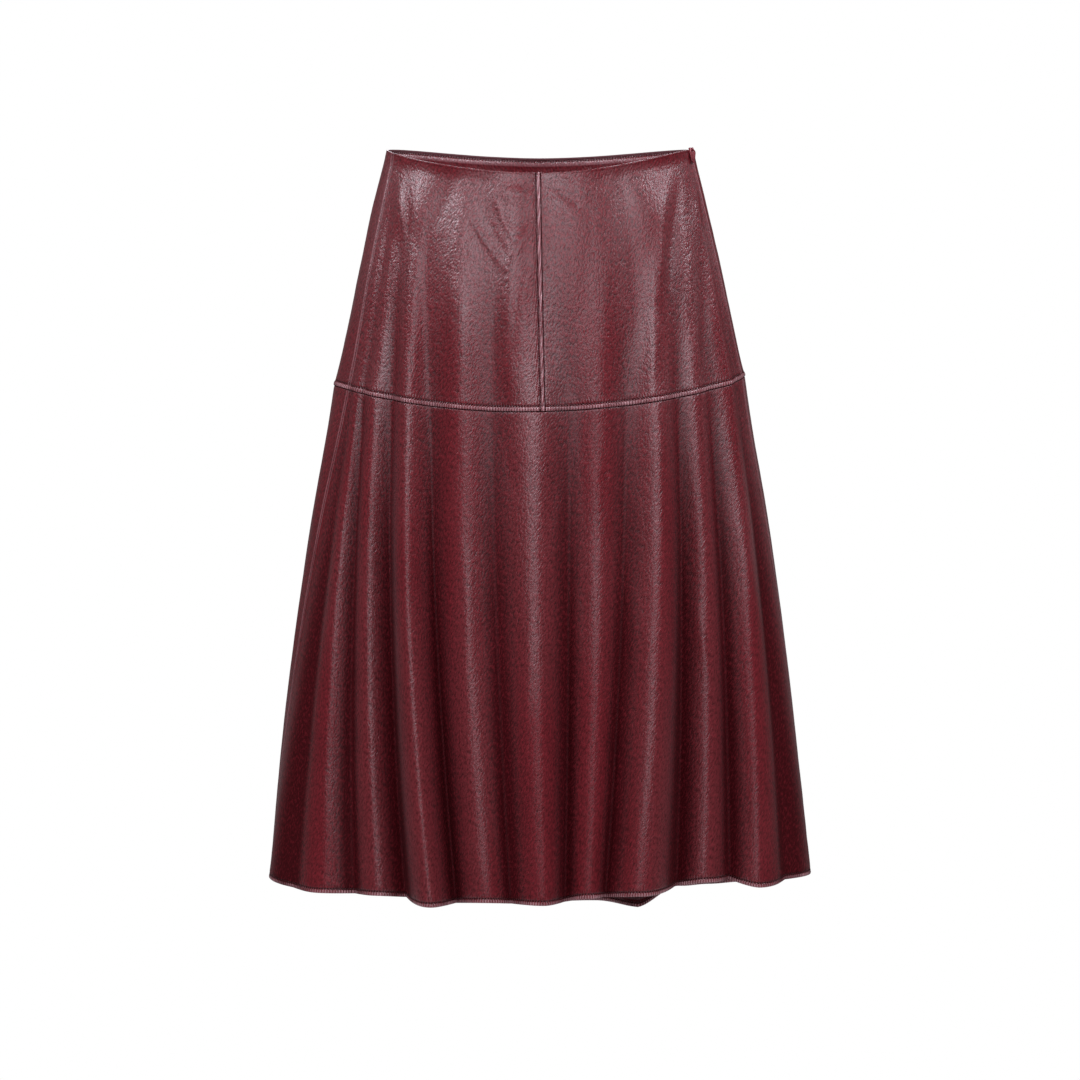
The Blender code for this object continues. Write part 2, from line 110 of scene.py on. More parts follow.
# The lines that run down the cloth: angles in degrees, rises and hem heights in millimetres.
Line = namedtuple("Line", "kind waist yoke_seam hem_angle rise_seam rise_hem crease hem")
FRONT_LINES = table(Line, (
    ("side seam", -71, -68.5, -93, 0, 0, 0.0, -766),
    ("valley", -69, -66, -64, 0, 1, 0.5, -772),
    ("crest", -67, -62, -52, 1, 10, 0.0, -775),
    ("valley", -64, -59, -43, -2, -10, 0.7, -776),
    ("crest", -60, -53, -36, 3, 6, 0.0, -776),
    ("valley", -55, -46.5, -29.8, -5, -18, 0.95, -779),
    ("crest", -48, -39.5, -22.3, 7, 22, 0.0, -785),
    ("valley", -39, -32, -18, -5, -16, 0.9, -784),
    ("crest", -28, -22.5, -11, 3, 10, 0.0, -781),
    ("valley", -19, -13.5, -6, -3, -6, 0.8, -783),
    ("crest", -10, -2.5, 0.6, 4, 16, 0.0, -783),
    ("valley", 3, 8, 5.2, -3, -14, 0.9, -782),
    ("crest", 18, 16.5, 10, 2, 6, 0.0, -777),
    ("valley", 32, 24.5, 13.7, -3, -10, 0.85, -777),
    ("crest", 46, 34.5, 20.5, 7, 20, 0.0, -774),
    ("valley", 53, 42, 30.5, -4, -22, 0.95, -768),
    ("crest", 59, 49, 37, 2, 2, 0.0, -763),
    ("valley", 66, 55.5, 44.5, -3, -14, 0.95, -762),
    ("crest", 71, 65, 51, 4, 14, 0.0, -769),
    ("valley", 74, 72, 64, 0, -2, 0.5, -764),
    ("side seam", 76, 80, 92, 0, 0, 0.0, -762),
))
BACK_LINES = table(Line, (
    ("side seam", 76, 80, 92, 0, 0, 0.0, -762),
    ("crest", 92, 95, 104, 1, 6, 0.0, -766),
    ("valley", 103, 106, 116, -1, -8, 0.7, -772),
    ("crest", 117, 121, 131, 3, 13, 0.0, -780),
    ("valley", 127, 131, 140, 0, -3, 0.0, -782),
    ("crest", 136, 140, 148.5, 2, 5, 0.0, -786),
    ("valley", 145, 149, 157.5, -3, -22, 0.0, -807),
    ("crest", 155, 159, 168, 3, 12, 0.0, -804),
    ("valley", 165, 169, 177, -2, -12, 0.8, -803),
    ("crest", 180, 183, 189, 4, 16, 0.0, -802),
    ("valley", 195, 197, 201, -3, -16, 0.85, -798),
    ("crest", 209, 210, 213, 4, 18, 0.0, -794),
    ("valley", 223, 223, 224, -2, -10, 0.8, -788),
    ("crest", 237, 237, 236, 3, 12, 0.0, -781),
    ("valley", 250, 250, 246, -2, -12, 0.7, -775),
    ("crest", 264, 263, 256, 2, 8, 0.0, -770),
    ("side seam", 289, 291.5, 267, 0, 0, 0.0, -766),
))

# ---- what the solids are too coarse for

# How a turned edge is shaped: at each distance in from the edge, how far the face lifts, both in millimetres,
# and how thick the wall is, as a share of the cloth's own.
Edge = namedtuple("Edge", "distance lift wall")
PLAIN_SEAM = table(Edge, (
    (0.0, -0.75, 0.5), (0.25, -0.35, 0.8), (0.7, 0.0, 0.95), (1.5, 0.3, 1.1),
    (2.6, 0.35, 1.15), (4.0, 0.05, 1.0), (5.5, 0.0, 1.0),
))
WAIST_ROLL = table(Edge, (
    (0.0, -0.7, 0.9), (0.25, -0.25, 1.6), (0.7, -0.05, 2.1), (1.4, 0.0, 2.2),
    (2.0, -0.05, 2.1), (2.3, -0.12, 1.0), (3.2, -0.02, 1.0), (5.0, 0.0, 1.0),
))
YOKE_WELT = table(Edge, (
    (0.0, 0.1, 0.9), (0.25, 0.55, 1.4), (0.8, 0.85, 1.7), (2.0, 1.0, 1.9),
    (3.8, 0.85, 1.8), (5.0, 0.25, 1.3), (5.6, 0.02, 1.05), (6.2, 0.12, 1.1),
    (8.0, 0.12, 1.0), (12.0, 0.0, 1.0),
))
CENTRE_WELT = table(Edge, (
    (0.0, -0.05, 0.9), (0.3, 0.42, 1.3), (0.9, 0.7, 1.6), (2.2, 0.8, 1.7),
    (3.8, 0.55, 1.5), (4.5, 0.1, 1.1), (4.9, 0.0, 1.0), (5.4, 0.08, 1.0),
    (8.0, 0.0, 1.0),
))
UNDER_WELT = table(Edge, (
    (0.0, -0.55, 0.6), (0.4, -0.35, 0.8), (1.2, -0.12, 1.0), (3.0, 0.0, 1.0),
))
HEM_TURN = table(Edge, (
    (0.0, -0.55, 0.5), (0.3, -0.2, 1.2), (0.8, 0.02, 1.7), (2.0, 0.25, 2.0),
    (3.5, 0.16, 1.9), (4.5, -0.1, 1.6), (5.0, -0.18, 1.5), (5.5, -0.1, 1.6),
    (7.5, 0.08, 1.8), (11.6, 0.0, 1.7), (12.1, 0.0, 1.0), (15.0, 0.0, 1.0),
))
CUT_EDGE = table(Edge, (
    (0.0, -0.3, 0.4), (0.3, -0.05, 0.85), (0.9, 0.0, 1.0),
))
FACING_ROLL = table(Edge, (
    (0.0, -0.3, 0.4), (0.3, -0.05, 0.9), (0.9, 0.0, 0.85), (2.4, 0.0, 1.7),
    (4.2, 0.0, 1.95), (6.5, 0.0, 1.3), (9.0, 0.0, 1.0),
))
YOKE_STITCH_ROW = 5.6 * MM
CENTRE_STITCH_ROW = 4.9 * MM
HEM_STITCH_ROW = 5.0 * MM
HEM_TURNING = 12.1 * MM
FAR_AWAY = 1.0

# Soft creases, given one by one: where the middle is, in degrees and level, how long and wide, how far the
# cloth rises (sinks if negative), in millimetres, and how far its lower end leans to the wearer's left, in
# degrees.
Crease = namedtuple("Crease", "angle level length width rise lean")
YOKE_CREASES = table(Crease, (
    (-67.8, 0.61, 108, 3.8, 0.6, 5), (-61.9, 0.43, 126, 5.3, -0.9, 4), (-55.5, 0.25, 111, 7.9, 1.6, 19),
    (-53.8, 0.25, 67, 2.9, 0.6, 18), (-50.8, 0.26, 66, 2.7, -0.5, 7), (-48.7, 0.53, 132, 8.5, 1.9, 8),
    (-43.5, 0.82, 127, 8.1, 1.8, 12), (-39.7, 0.45, 132, 8.1, -1.8, 6), (-36.8, 0.17, 91, 8.3, -1.6, -14),
    (-36.1, 0.78, 149, 7.5, -1.7, 8), (-27.8, 0.24, 107, 10.5, 1.4, -2), (-25.5, 0.66, 222, 10.4, 1.5, 7),
    (-19.1, 0.29, 107, 3.3, 0.9, 38), (-14.8, 0.28, 81, 3.6, -0.8, 30), (-13.7, 0.72, 171, 6.2, -0.9, 0),
    (-12.6, 0.2, 73, 3.6, 0.9, 29), (-9.6, 0.55, 122, 5.2, 0.9, -2), (-8.3, 0.85, 86, 7.2, 1, 6),
    (-7.8, 0.09, 61, 6.3, 0.8, 83), (-6.7, 0.5, 115, 4.1, -0.7, -5), (-6.4, 0.2, 41, 7.1, -0.7, 12),
    (-6, 0.29, 82, 4.1, 1, -29), (-4.5, 0.48, 76, 4.5, 0.8, -14), (10.2, 0.46, 148, 8.2, 0.6, -6),
    (11.3, 0.12, 84, 5.4, -1, 49), (15.3, 0.06, 77, 3.4, 0.6, 57), (15.4, 0.45, 155, 7.2, -0.5, -6),
    (19.5, 0.67, 198, 8.2, 0.5, -7), (24, 0.84, 105, 7.3, -0.6, -4), (30.8, 0.18, 111, 8.4, -1.1, 4),
    (31.4, 0.5, 140, 8.4, -1.1, -2), (35.1, 0.77, 163, 7.4, 1.9, -10), (38.3, 0.82, 133, 6.4, -1.4, -10),
    (42.1, 0.41, 125, 7.9, 2.1, -15), (44.1, 0.52, 110, 6.4, -1.5, -16), (49.5, 0.18, 78, 8.6, 1.9, -18),
    (52.7, 0.79, 149, 7, 1.2, -9), (53, 0.28, 116, 6.6, -1.6, -19), (60.3, 0.42, 148, 7.4, 1.2, -15),
    (60.4, 0.69, 218, 5.7, -1.1, -14), (71.4, 0.21, 83, 3.6, 0.8, -10), (75.1, 0.77, 141, 8.1, 0.8, -9),
    (-49.5, 0.18, 92, 20, 2.6, 0), (-13, 0.09, 52, 15, 1.3, 0), (42, 0.2, 104, 20, 2.6, -6),
    (98, 0.30, 120, 6, 1.0, -3), (108, 0.35, 150, 8, -1.3, 4), (119, 0.28, 130, 8, 1.3, 2),
    (131, 0.40, 160, 9, -1.1, -3), (143, 0.22, 80, 7, 1.0, 12), (152, 0.55, 120, 8, 0.9, -5),
    (163, 0.26, 90, 6, -1.0, -20), (172, 0.45, 130, 9, 1.1, 6), (184, 0.20, 70, 8, -0.9, 15),
    (193, 0.50, 150, 9, 1.0, -8), (205, 0.28, 110, 7, -1.2, 5), (216, 0.36, 140, 8, 1.3, -4),
    (229, 0.30, 130, 8, -1.2, 3), (242, 0.33, 150, 8, 1.3, 2), (256, 0.35, 140, 7, -1.1, -3),
    (270, 0.25, 110, 6, 1.0, 3),
))
SKIRT_CREASES = table(Crease, (
    (-52, 1.22, 150, 6, 1.0, 3), (-40, 1.34, 120, 5, -0.8, -3), (-33.5, 1.12, 60, 4, 0.7, 12),
    (-24, 1.20, 90, 5, 0.9, -8), (-17, 1.42, 150, 6, 1.0, 2), (-8, 1.12, 70, 5, -0.8, 5),
    (-3, 1.55, 170, 7, 1.1, -3), (4, 1.24, 120, 5, 0.8, -6), (9, 1.46, 180, 5, 0.8, 2),
    (17, 1.16, 90, 5, -0.9, -6), (22, 1.42, 190, 8, 1.0, 1), (41, 1.5, 150, 5, 1.0, 3),
    (50, 1.26, 130, 5, -0.8, -4), (60, 1.36, 150, 7, 1.1, 4), (104, 1.30, 150, 7, 1.0, 3),
    (125, 1.22, 110, 6, -0.9, -6), (141, 1.45, 170, 7, 1.0, 2), (158, 1.18, 90, 6, 0.9, 9),
    (174, 1.40, 160, 7, -1.0, -3), (190, 1.24, 110, 6, 0.9, 5), (207, 1.50, 180, 7, 1.0, -2),
    (221, 1.20, 100, 5, -0.8, 7), (238, 1.36, 150, 7, 1.0, -4), (254, 1.28, 120, 6, 0.9, 4),
))
# The leather's own uneven hang: waves of noise, each so wide round the body, so tall and so deep.
Wave = namedtuple("Wave", "across down depth")
UNEVEN_HANG = table(Wave, (
    (38 * MM, 120 * MM, 0.8 * MM),
    (13 * MM, 40 * MM, 0.24 * MM),
    (5 * MM, 13 * MM, 0.1 * MM),
))
WAIST_FLARE = 3.2 * MM
WAIST_FLARE_DEPTH = 15 * MM
# How full the folds' tops are beside soft and beside sharp valleys, and how flat that makes them.
FULLNESS = (0.2, 0.75)
FULLNESS_GROWTH_POWER = 0.5
FOLD_TOP_POWER = 2.4
RELIEF_OF_KIND = {"crest": 1.0, "side seam": 0.0, "valley": -1.0}
# How much the folds count as raised or sunk at the yoke seam.
SEAM_RELIEF = 0.3
# Where the leather stands out beside a side seam and inside the waist, where a highlight is painted on it,
# and the colour of the painted highlights.
SEAM_PUFF = 2.0 * MM
SIDE_SEAMS = (("from_left", SEAM_PUFF), ("from_right", SEAM_PUFF))
FACING_SHINE = 4.5 * MM
PAINTED_HIGHLIGHT_COLOUR = (0.4, 0.22, 0.235)
WELT_UNEVENNESS = 0.5
WELT_PUCKER_LENGTH = 9 * MM

# Sewing.
STITCH_PITCH = 2.9 * MM
UNDERSTITCH_ROW = 0.9 * MM
PUCKER_DEPTH = 0.4 * MM
STITCH_GROOVE = 0.22 * MM
STITCH_INSET = 3 * MM
STITCH_LIFT = 0.05 * MM
BEAD_SIDES = 6
BEAD_RINGS = 5
COIL_LIFT = 0.3 * MM
COIL_PITCH = 1.4 * MM
COIL_SIZE = (0.9 * MM, 3.6 * MM, 1.0 * MM)

# The zip's hardware: where its hinge is and which way is out, as the solids have them.
HINGE = Vector((159.591, -18.142, -1.529)) * MM
ZIP_OUT = Vector((0.5916, -0.7806, 0.2017)).normalized()
SLIDER_SIZE = (4.4 * MM, 2.4 * MM, 6.6 * MM)
SLIDER_FRONT = 1.15 * MM
SLIDER_ROUNDING = 0.6 * MM
SLIDER_FOOT = (0.72, 0.9, 1)
SLIDER_CAP_INSET = 0.7 * MM
SLIDER_CAP_RISE = 0.35 * MM
SLIDER_BEVEL = (0.35 * MM, 3)
LOOP_RADIUS = 1.75 * MM
LOOP_WIRE = 0.5 * MM
LOOP_CORNERS = 32
LOOP_WIRE_CORNERS = 12
TAB_THICKNESS = 1.4 * MM
TAB_HEAD_RADIUS = 4.0 * MM
TAB_TIP_RADIUS = 2.2 * MM
TAB_LENGTH = 14.9 * MM
TAB_BAR = 1.1 * MM
TAB_EYE_WIDTH = 3.0 * MM
TAB_EYE_HEIGHT = 2.3 * MM
TAB_LEAN_DEG = 4
TAB_BEVEL = (0.4 * MM, 4)
TAB_CORNERS = 64
TAB_EYE_CORNERS = 32
SMOOTH_UNDER_DEG = 40
FACES_THAT_WAY = 0.9

# The leather's patterns: how large they are across and down, how many degrees they lean, how far they sway.
GRAIN = (1.8 * MM, 4.2 * MM, 22, 4 * MM)
PORES = (1.9 * MM, 2.6 * MM, 14)
SMALL_WRINKLES = (3.4 * MM, 8 * MM, 14, 10 * MM)
WRINKLES = (9 * MM, 26 * MM, 8, 20 * MM)
STREAKS = (30 * MM, 60 * MM)
PATCHES = (70 * MM, 320 * MM)
SWAY = (17 * MM, 26 * MM)
STRETCHES = (24 * MM, 24 * MM)
PUCKERS = (7 * MM, 7 * MM)
NAP = (0.8 * MM, 0.8 * MM)
BACK_CLOUDS = (9 * MM, 14 * MM)
WEAVE = (0.9 * MM, 0.6 * MM)
# How much detail the noise has: soft, plain or fine.
SOFT, PLAIN, FINE = 1.0, 2.0, 3.0
# How much the patterns add to the face: to its height, as shares of the grain's depth, grain, pores, small
# wrinkles and wrinkles; to its roughness, streaks, small wrinkles and hollows; to its tone, streaks, small
# wrinkles, grain, relief and hollows, of which relief paints light on the folds' tops and shade in their
# hollows, and hollows paint more shade there.
HEIGHT_WEIGHTS = (1.0, -0.4, 0.5, 0.7)
ROUGHNESS_WEIGHTS = (0.08, 0.08, 0.2)
ROUGHNESS_START = -0.08
TONE_WEIGHTS = (0.3, 0.3, 2.2, 0.16, -0.3)
TONE_START = -0.9
# The same for its back: nap and clouds. Its roughness changes with the clouds, from the second number up.
BACK_TONE_WEIGHTS = (0.4, 0.6)
BACK_HEIGHTS = (0.12 * MM, 0.3 * MM)
BACK_ROUGHNESS = (0.1, 0.82)
# Between which amounts something fades out: the folds' hollows, where shade is painted, by their
# relief, matt spots by the grain, matt patches by their own noise, what a stitch groove and a pucker reach,
# the painted shade in a seam, and the painted highlight bands beside a row of stitches and on a puffed
# seam, as shares of how far in these lie.
SHADED_HOLLOWS = (-0.9, 0.2)
MATT_SPOTS = (0.34, 0.52)
MATT_PATCHES = (0.36, 0.6)
GROOVE = (0.4 * MM, 1.6 * MM)
PUCKERED = (0.8 * MM, 6 * MM)
SUNK = (0.5 * MM, 1.7 * MM)
PAINTED_HIGHLIGHT_BAND = (0.55, 0.85)
PUFFED_BAND = (0.15, 0.6)
# How matt hollows, spots and patches are; how grooves and the painted highlight beside them go up and down
# with the stitches, by their mean and their swing; how far that painted highlight band is smoothed; and how
# far a puffed seam's painted highlight lightens and smooths the leather.
HOLLOW_MATT = 0.9
SPOT_MATT = 0.3
PATCH_MATT = 0.5
GROOVE_WAVE = (0.7, 0.3)
PAINTED_HIGHLIGHT_WAVE = (1.08, 0.99)
HIGHLIGHT_BAND_SMOOTHER = 0.15
PUFFED_HIGHLIGHT = 0.45
PUFFED_SMOOTHER = 0.1
# How much darker and lighter than its colour the leather gets, and how rough it is where it doesn't shine.
LEATHER_SHADES = (0.4, 1.6)
BACK_SHADES = (0.7, 1.25)
# SEAM_SHADE: how light the painted shade in stitch grooves and at seams' edges is, as a share of the colour.
SEAM_SHADE = 0.2
DULL = 0.95
TAPE_COLOURS = ((0.040, 0.006, 0.009), (0.075, 0.012, 0.017))
TAPE_ROUGHNESS = 0.85
TAPE_RIB = 0.06 * MM
FLOOR_COLOURS = ((0.86, 0.86, 0.86), (0.9, 0.9, 0.9))
# Twisted polyester thread, dyed to match, and cast zinc under glossy paint: how large their spots are, their
# colours, how rough and how metallic they are. Then how much rougher and higher a spot is.
THREAD = (0.5 * MM, ((0.02, 0.003, 0.004), (0.05, 0.007, 0.01)), 0.6, 0.0)
PAINTED_ZINC = (2.2 * MM, ((0.12, 0.016, 0.022), (0.19, 0.032, 0.04)), 0.16, 0.25)
SPOT_ROUGHNESS = 0.2
SPOT_HEIGHT = 0.05 * MM

# The stage.
FLOOR_RADIUS = 1.2
FLOOR_CORNERS = 128
FLOOR_PATCHES = (0.4, 0.4)
FLOOR_ROUGHNESS = (0.1, 0.7)
CAMERA_LENS = 110.7
CAMERA_PLACE = (0, -3.5, -0.4111)
LAMP_COLOUR = (1.0, 0.97, 1.06)
Softbox = namedtuple("Softbox", "name place aim width height share")
SOFTBOXES = table(Softbox, (
    ("key", (0, -2.719, 0.968), (0, 0, -0.3), 1.7, 0.5, 1.5),
    ("low_front", (0, -2.789, -0.156), (0, 0, -0.4), 1.5, 0.5, 0.28),
    ("high_right", (-1.03, -0.72, 0.77), (0, 0, -0.05), 0.38, 0.38, 0.66),
    ("high_left", (1.03, -0.72, 0.77), (0, 0, -0.05), 0.38, 0.38, 0.66),
    ("floor_front", (0, -2.0, -1.05), (0, 0, -0.75), 1.2, 0.4, 0.07),
    ("right_side", (-2.43, 0.43, 0.91), (0, 0, -0.4), 0.8, 0.8, 0.12),
    ("left_side", (2.43, 0.43, 0.91), (0, 0, -0.4), 0.8, 0.8, 0.25),
    ("behind", (0, 2.6, 1.0), (0, 0, -0.4), 1.4, 1.2, 1.0),
))

# How finely the sheets are divided.
YOKE_ROWS = 96
SKIRT_ROWS = 128
FRONT_YOKE_COLUMNS = 116
BACK_YOKE_COLUMNS = 230
FACING_ROWS = 14
ZIP_TAPE_ROWS = 90
ZIP_TAPE_COLUMNS = 14
# The flared part's columns are counted from the folds' widths, measured in so many steps a fold at a level.
SKIRT_COLUMN_SPACING = 2.9 * MM
SKIRT_LEAST_COLUMNS = 4
SKIRT_COUNT_LEVEL = 1.8
SKIRT_COUNT_STEPS = 20
SKIRT_EDGE_STEP = 0.05


def mix(start, end, share):
    """The value a share of the way from start to end."""
    return start + (end - start) * share


def column(rows, name):
    """One column of a table."""
    return np.array([getattr(row, name) for row in rows])


def girth_at(level):
    """Half width, front depth and back depth at a level, on a smooth curve through the sections."""
    last = len(SECTIONS) - 1
    index = max(i for i in range(last) if SECTIONS[i].level <= level or i == 0)
    before, start, end, after = (np.array(SECTIONS[min(max(index + i, 0), last)]) for i in (-1, 0, 1, 2))
    span = end[0] - start[0]
    share = (level - start[0]) / span
    slopes = [(to - at) / (to[0] - at[0]) * span for at, to in ((before, end), (start, after))]
    square, cube = share ** 2, share ** 3
    sizes = (
        start * (2 * cube - 3 * square + 1)
        + slopes[0] * (cube - 2 * square + share)
        + end * (3 * square - 2 * cube)
        + slopes[1] * (cube - square)
    )
    return sizes[1:]


def line_angles(lines, level):
    """Where each line of the cloth stands round the body at a level, in degrees."""
    at_seam = column(lines, "yoke_seam")
    if level < 1:
        return mix(column(lines, "waist"), at_seam, level)
    return mix(at_seam, column(lines, "hem_angle"), level - 1)


def fold_growth(level):
    """How far the folds have opened at a level: nothing at the yoke seam, 1 at the hem."""
    return 1 - max(2 - max(level, 1), 0) ** FOLD_GROWTH_POWER


def line_rises(lines, level):
    """How far each line stands out from the smooth girth at a level."""
    at_seam = column(lines, "rise_seam") * MM
    if level < 1:
        return at_seam * max(level, 0) ** YOKE_FOLD_POWER
    return mix(at_seam, column(lines, "rise_hem") * MM, fold_growth(level))


def fold_places(lines, coordinates, level):
    """Angles, rises and hem heights of places counted in fold lines, such as 2.5 between two lines, and how
    raised they are between the bottoms of the folds, -1, and their tops, 1."""
    index = np.clip(coordinates.astype(int), 0, len(lines) - 2)
    share = coordinates - index
    from_valley = (column(lines, "kind") == "valley")[index]
    creases = column(lines, "crease")
    tightness = np.where(from_valley, creases[index], creases[index + 1])
    fullness = mix(*FULLNESS, tightness) * fold_growth(level) ** FULLNESS_GROWTH_POWER
    way = np.where(from_valley, share, 1 - share).clip(0, 1)
    even = (1 - np.cos(np.pi * way)) / 2
    out = mix(even, 1 - (1 - way) ** FOLD_TOP_POWER, fullness)
    even = np.where(from_valley, even, 1 - even)
    out = np.where(from_valley, out, 1 - out)
    measures = (
        (line_angles(lines, level), share),
        (line_rises(lines, level), out),
        (column(lines, "hem") * MM, out),
        (np.array([RELIEF_OF_KIND[line.kind] for line in lines]), even),
    )
    return tuple(mix(values[index], values[index + 1], part) for values, part in measures)


def heights(angles, level, hems):
    """How high the cloth stands at angles and a level."""
    facing = np.cos(np.radians(angles))
    sideways = np.sin(np.radians(angles))
    ahead, behind = np.maximum(facing, 0), np.maximum(-facing, 0)
    waist_power = np.where(sideways > 0, WAIST_DIP_POWER_LEFT, WAIST_DIP_POWER_RIGHT)
    seam_power = np.where(sideways > 0, SEAM_DIP_POWER_LEFT, SEAM_DIP_POWER_RIGHT)
    waist = WAIST_SWELL_BACK * behind * (1 - behind ** 2) - WAIST_DIP_BACK * behind ** 2
    waist -= WAIST_DIP_FRONT * ahead ** waist_power
    seam = -YOKE_DEPTH - SEAM_DIP_FRONT * ahead ** seam_power - SEAM_DIP_BACK * behind ** seam_power
    seam += SEAM_TILT * sideways
    if level < 1:
        return mix(waist, seam, level)
    return mix(seam, hems, level - 1)


def place_on_girth(level, angles, rises, hems):
    """Points of the cloth's outer side at a level, and the level directions out of it there."""
    half_width, front_depth, back_depth = girth_at(level)
    turn = np.radians(angles)
    depth = np.where(np.cos(turn) > 0, front_depth, back_depth)
    out = np.stack([np.sin(turn) / half_width, -np.cos(turn) / depth, np.zeros_like(turn)], axis=-1)
    out /= np.linalg.norm(out, axis=-1, keepdims=True)
    height = heights(angles, level, hems)
    points = np.stack([half_width * np.sin(turn), -depth * np.cos(turn), height], axis=-1)
    return points + out * rises[:, None], out


def degrees_for(distance, angle_deg, level):
    """The angle that a short distance round the girth takes up."""
    half_width, front_depth, back_depth = girth_at(level)
    angle = math.radians(angle_deg)
    depth = front_depth if math.cos(angle) > 0 else back_depth
    return np.degrees(distance / math.hypot(half_width * math.cos(angle), depth * math.sin(angle)))


def crease_lift(angles, level):
    """How far the hand-laid creases move the cloth at angles and a level."""
    lift = np.zeros_like(angles)
    creases, depth = (YOKE_CREASES, YOKE_DEPTH) if level < 1 else (SKIRT_CREASES, SKIRT_DEPTH)
    for crease in creases:
        sideways = (angles - crease.angle) / degrees_for(1.0, crease.angle, crease.level)
        below = (level - crease.level) * depth
        lean = math.radians(crease.lean)
        along = below * math.cos(lean) + sideways * math.sin(lean)
        across = sideways * math.cos(lean) - below * math.sin(lean)
        reach = np.clip(1 - (along / (crease.length * MM / 2)) ** 2, 0, 1)
        lift += crease.rise * MM * np.exp(-(across / (crease.width * MM)) ** 2) * reach ** 2
    return lift


def unevenness(points, across, down):
    """Smooth noise between about -1 and 1 at points, so wide round the body and so tall."""
    steps = (points / np.array([across, across, down])).reshape(-1, 3)
    return np.array([noise.noise(Vector(step)) for step in steps]).reshape(points.shape[:-1])


def hang_lift(points):
    """How far the leather's uneven hang moves it at points."""
    return sum(wave.depth * unevenness(points, wave.across, wave.down) for wave in UNEVEN_HANG)


def raised(points, out, folds, creases, flare=0.0):
    """A row of places: points moved out by their creases, and how raised the leather is, from -1 to 1."""
    lift = creases + hang_lift(points) + flare
    return np.column_stack([points + out * lift[:, None], folds])


def yoke_row(lines, angles, level):
    """A row of places of a yoke at a level, before its edges are shaped."""
    coordinates = np.interp(angles, line_angles(lines, level), np.arange(len(lines)))
    angles, rises, hems, folds = fold_places(lines, coordinates, level)
    points, out = place_on_girth(level, angles, rises, hems)
    near_waist = max(0.0, 1 - level * YOKE_DEPTH / WAIST_FLARE_DEPTH)
    flare = WAIST_FLARE * np.abs(np.sin(2 * np.radians(angles))) * near_waist ** 2
    folds = folds * SEAM_RELIEF * max(level, 0) ** YOKE_FOLD_POWER
    return raised(points, out, folds, crease_lift(angles, level), flare)


def skirt_row(lines, coordinates, level):
    """A row of places of the flared part at a level, before its edges are shaped."""
    angles, rises, hems, folds = fold_places(lines, coordinates, level)
    points, out = place_on_girth(level, angles, rises, hems)
    return raised(points, out, folds * mix(SEAM_RELIEF, 1, fold_growth(level)), crease_lift(angles, level))


# ---- sheets of cloth

# A border is how an edge is turned and how far each row or column is from it. A cloth is a grid of points,
# rows down and columns to the wearer's left, the way out at each, how thick and how raised it is there, and
# how far each point is along its row and down its column.
Border = namedtuple("Border", "edges away")
Cloth = namedtuple("Cloth", "points normals wall relief across down")


def distances(edges):
    """The distances in from the edge at which its shape is given, in metres."""
    return column(edges, "distance") * MM


def spread(first, last, length, count):
    """Places across a sheet, close together where its two edges are shaped and even between them."""
    start, end = distances(first), length - distances(last)[::-1]
    return np.concatenate([start, np.linspace(start[-1], end[0], count + 1)[1:-1], end])


def arc_lengths(points, axis):
    """Distances run along the rows or columns of a grid of points, from the first."""
    steps = np.linalg.norm(np.diff(points, axis=axis), axis=-1)
    start = np.zeros_like(np.take(steps, [0], axis=axis))
    return np.concatenate([start, np.cumsum(steps, axis=axis)], axis=axis)


def grid_normals(points):
    """The directions out of a grid of points."""
    normals = np.cross(np.gradient(points, axis=0), np.gradient(points, axis=1))
    return normals / np.linalg.norm(normals, axis=-1, keepdims=True)


def turn_edges(places, top, bottom, left, right, wall):
    """A cloth made of a grid of places, with its four edges turned as their borders say."""
    points, relief = places[..., :3], places[..., 3]
    lifts, walls = [], []
    for border, upright in ((top, False), (bottom, False), (left, True), (right, True)):
        away = border.away[None, :] if upright else border.away[:, None]
        at = distances(border.edges)
        for values, name in ((lifts, "lift"), (walls, "wall")):
            shape = np.interp(away, at, column(border.edges, name))
            values.append(np.broadcast_to(shape, points.shape[:2]))
    puff = 1 + WELT_UNEVENNESS * unevenness(points, WELT_PUCKER_LENGTH, WELT_PUCKER_LENGTH)
    lift = np.max(lifts, axis=0).clip(min=0) * puff + np.min(lifts, axis=0).clip(max=0)
    thickness = wall * np.max(walls, axis=0).clip(min=1) * np.min(walls, axis=0).clip(max=1)
    normals = grid_normals(points)
    points = points + normals * lift[..., None] * MM
    return Cloth(points, normals, thickness, relief, arc_lengths(points, 1), arc_lengths(points, 0))


def column_angles(start, end, level, first, last, count):
    """The angles of a yoke's columns at a level, between the seams at start and end."""
    left = start + degrees_for(distances(first) + GAP / 2, start, level)
    right = end - degrees_for(distances(last)[::-1] + GAP / 2, end, level)
    return np.concatenate([left, np.linspace(left[-1], right[0], count + 1)[1:-1], right])


def side_borders(first, last, count):
    """The borders at a sheet's two upright edges, for its columns."""
    far = np.full(count - 1, FAR_AWAY)
    near_first, near_last = distances(first), distances(last)[::-1]
    left = np.concatenate([near_first, far, np.full(len(last), FAR_AWAY)])
    right = np.concatenate([np.full(len(first), FAR_AWAY), far, near_last])
    return Border(first, left), Border(last, right)


def moved_in(places, distance):
    """A grid of places moved in from the outer side."""
    points = places[..., :3] - grid_normals(places[..., :3]) * distance
    return np.concatenate([points, places[..., 3:]], axis=-1)


def sheet_cloth(edges, length, counts, row_of, wall, inwards=0.0):
    """A sheet of cloth: row_of gives the places at a distance down, edges are its top, bottom, first and last
    ones, and counts are how many rows and columns lie between them."""
    top, bottom, first, last = edges
    down = spread(top, bottom, length, counts[0])
    places = np.array([row_of(distance) for distance in down])
    if inwards:
        places = moved_in(places, inwards)
    left, right = side_borders(first, last, counts[1])
    return turn_edges(places, Border(top, down), Border(bottom, length - down), left, right, wall)


def centre_seam_angle(level):
    """The angle of the centre-front seam, which hangs a little aslant."""
    return mix(CENTRE_SEAM_ANGLE_WAIST, CENTRE_SEAM_ANGLE_YOKE, level)


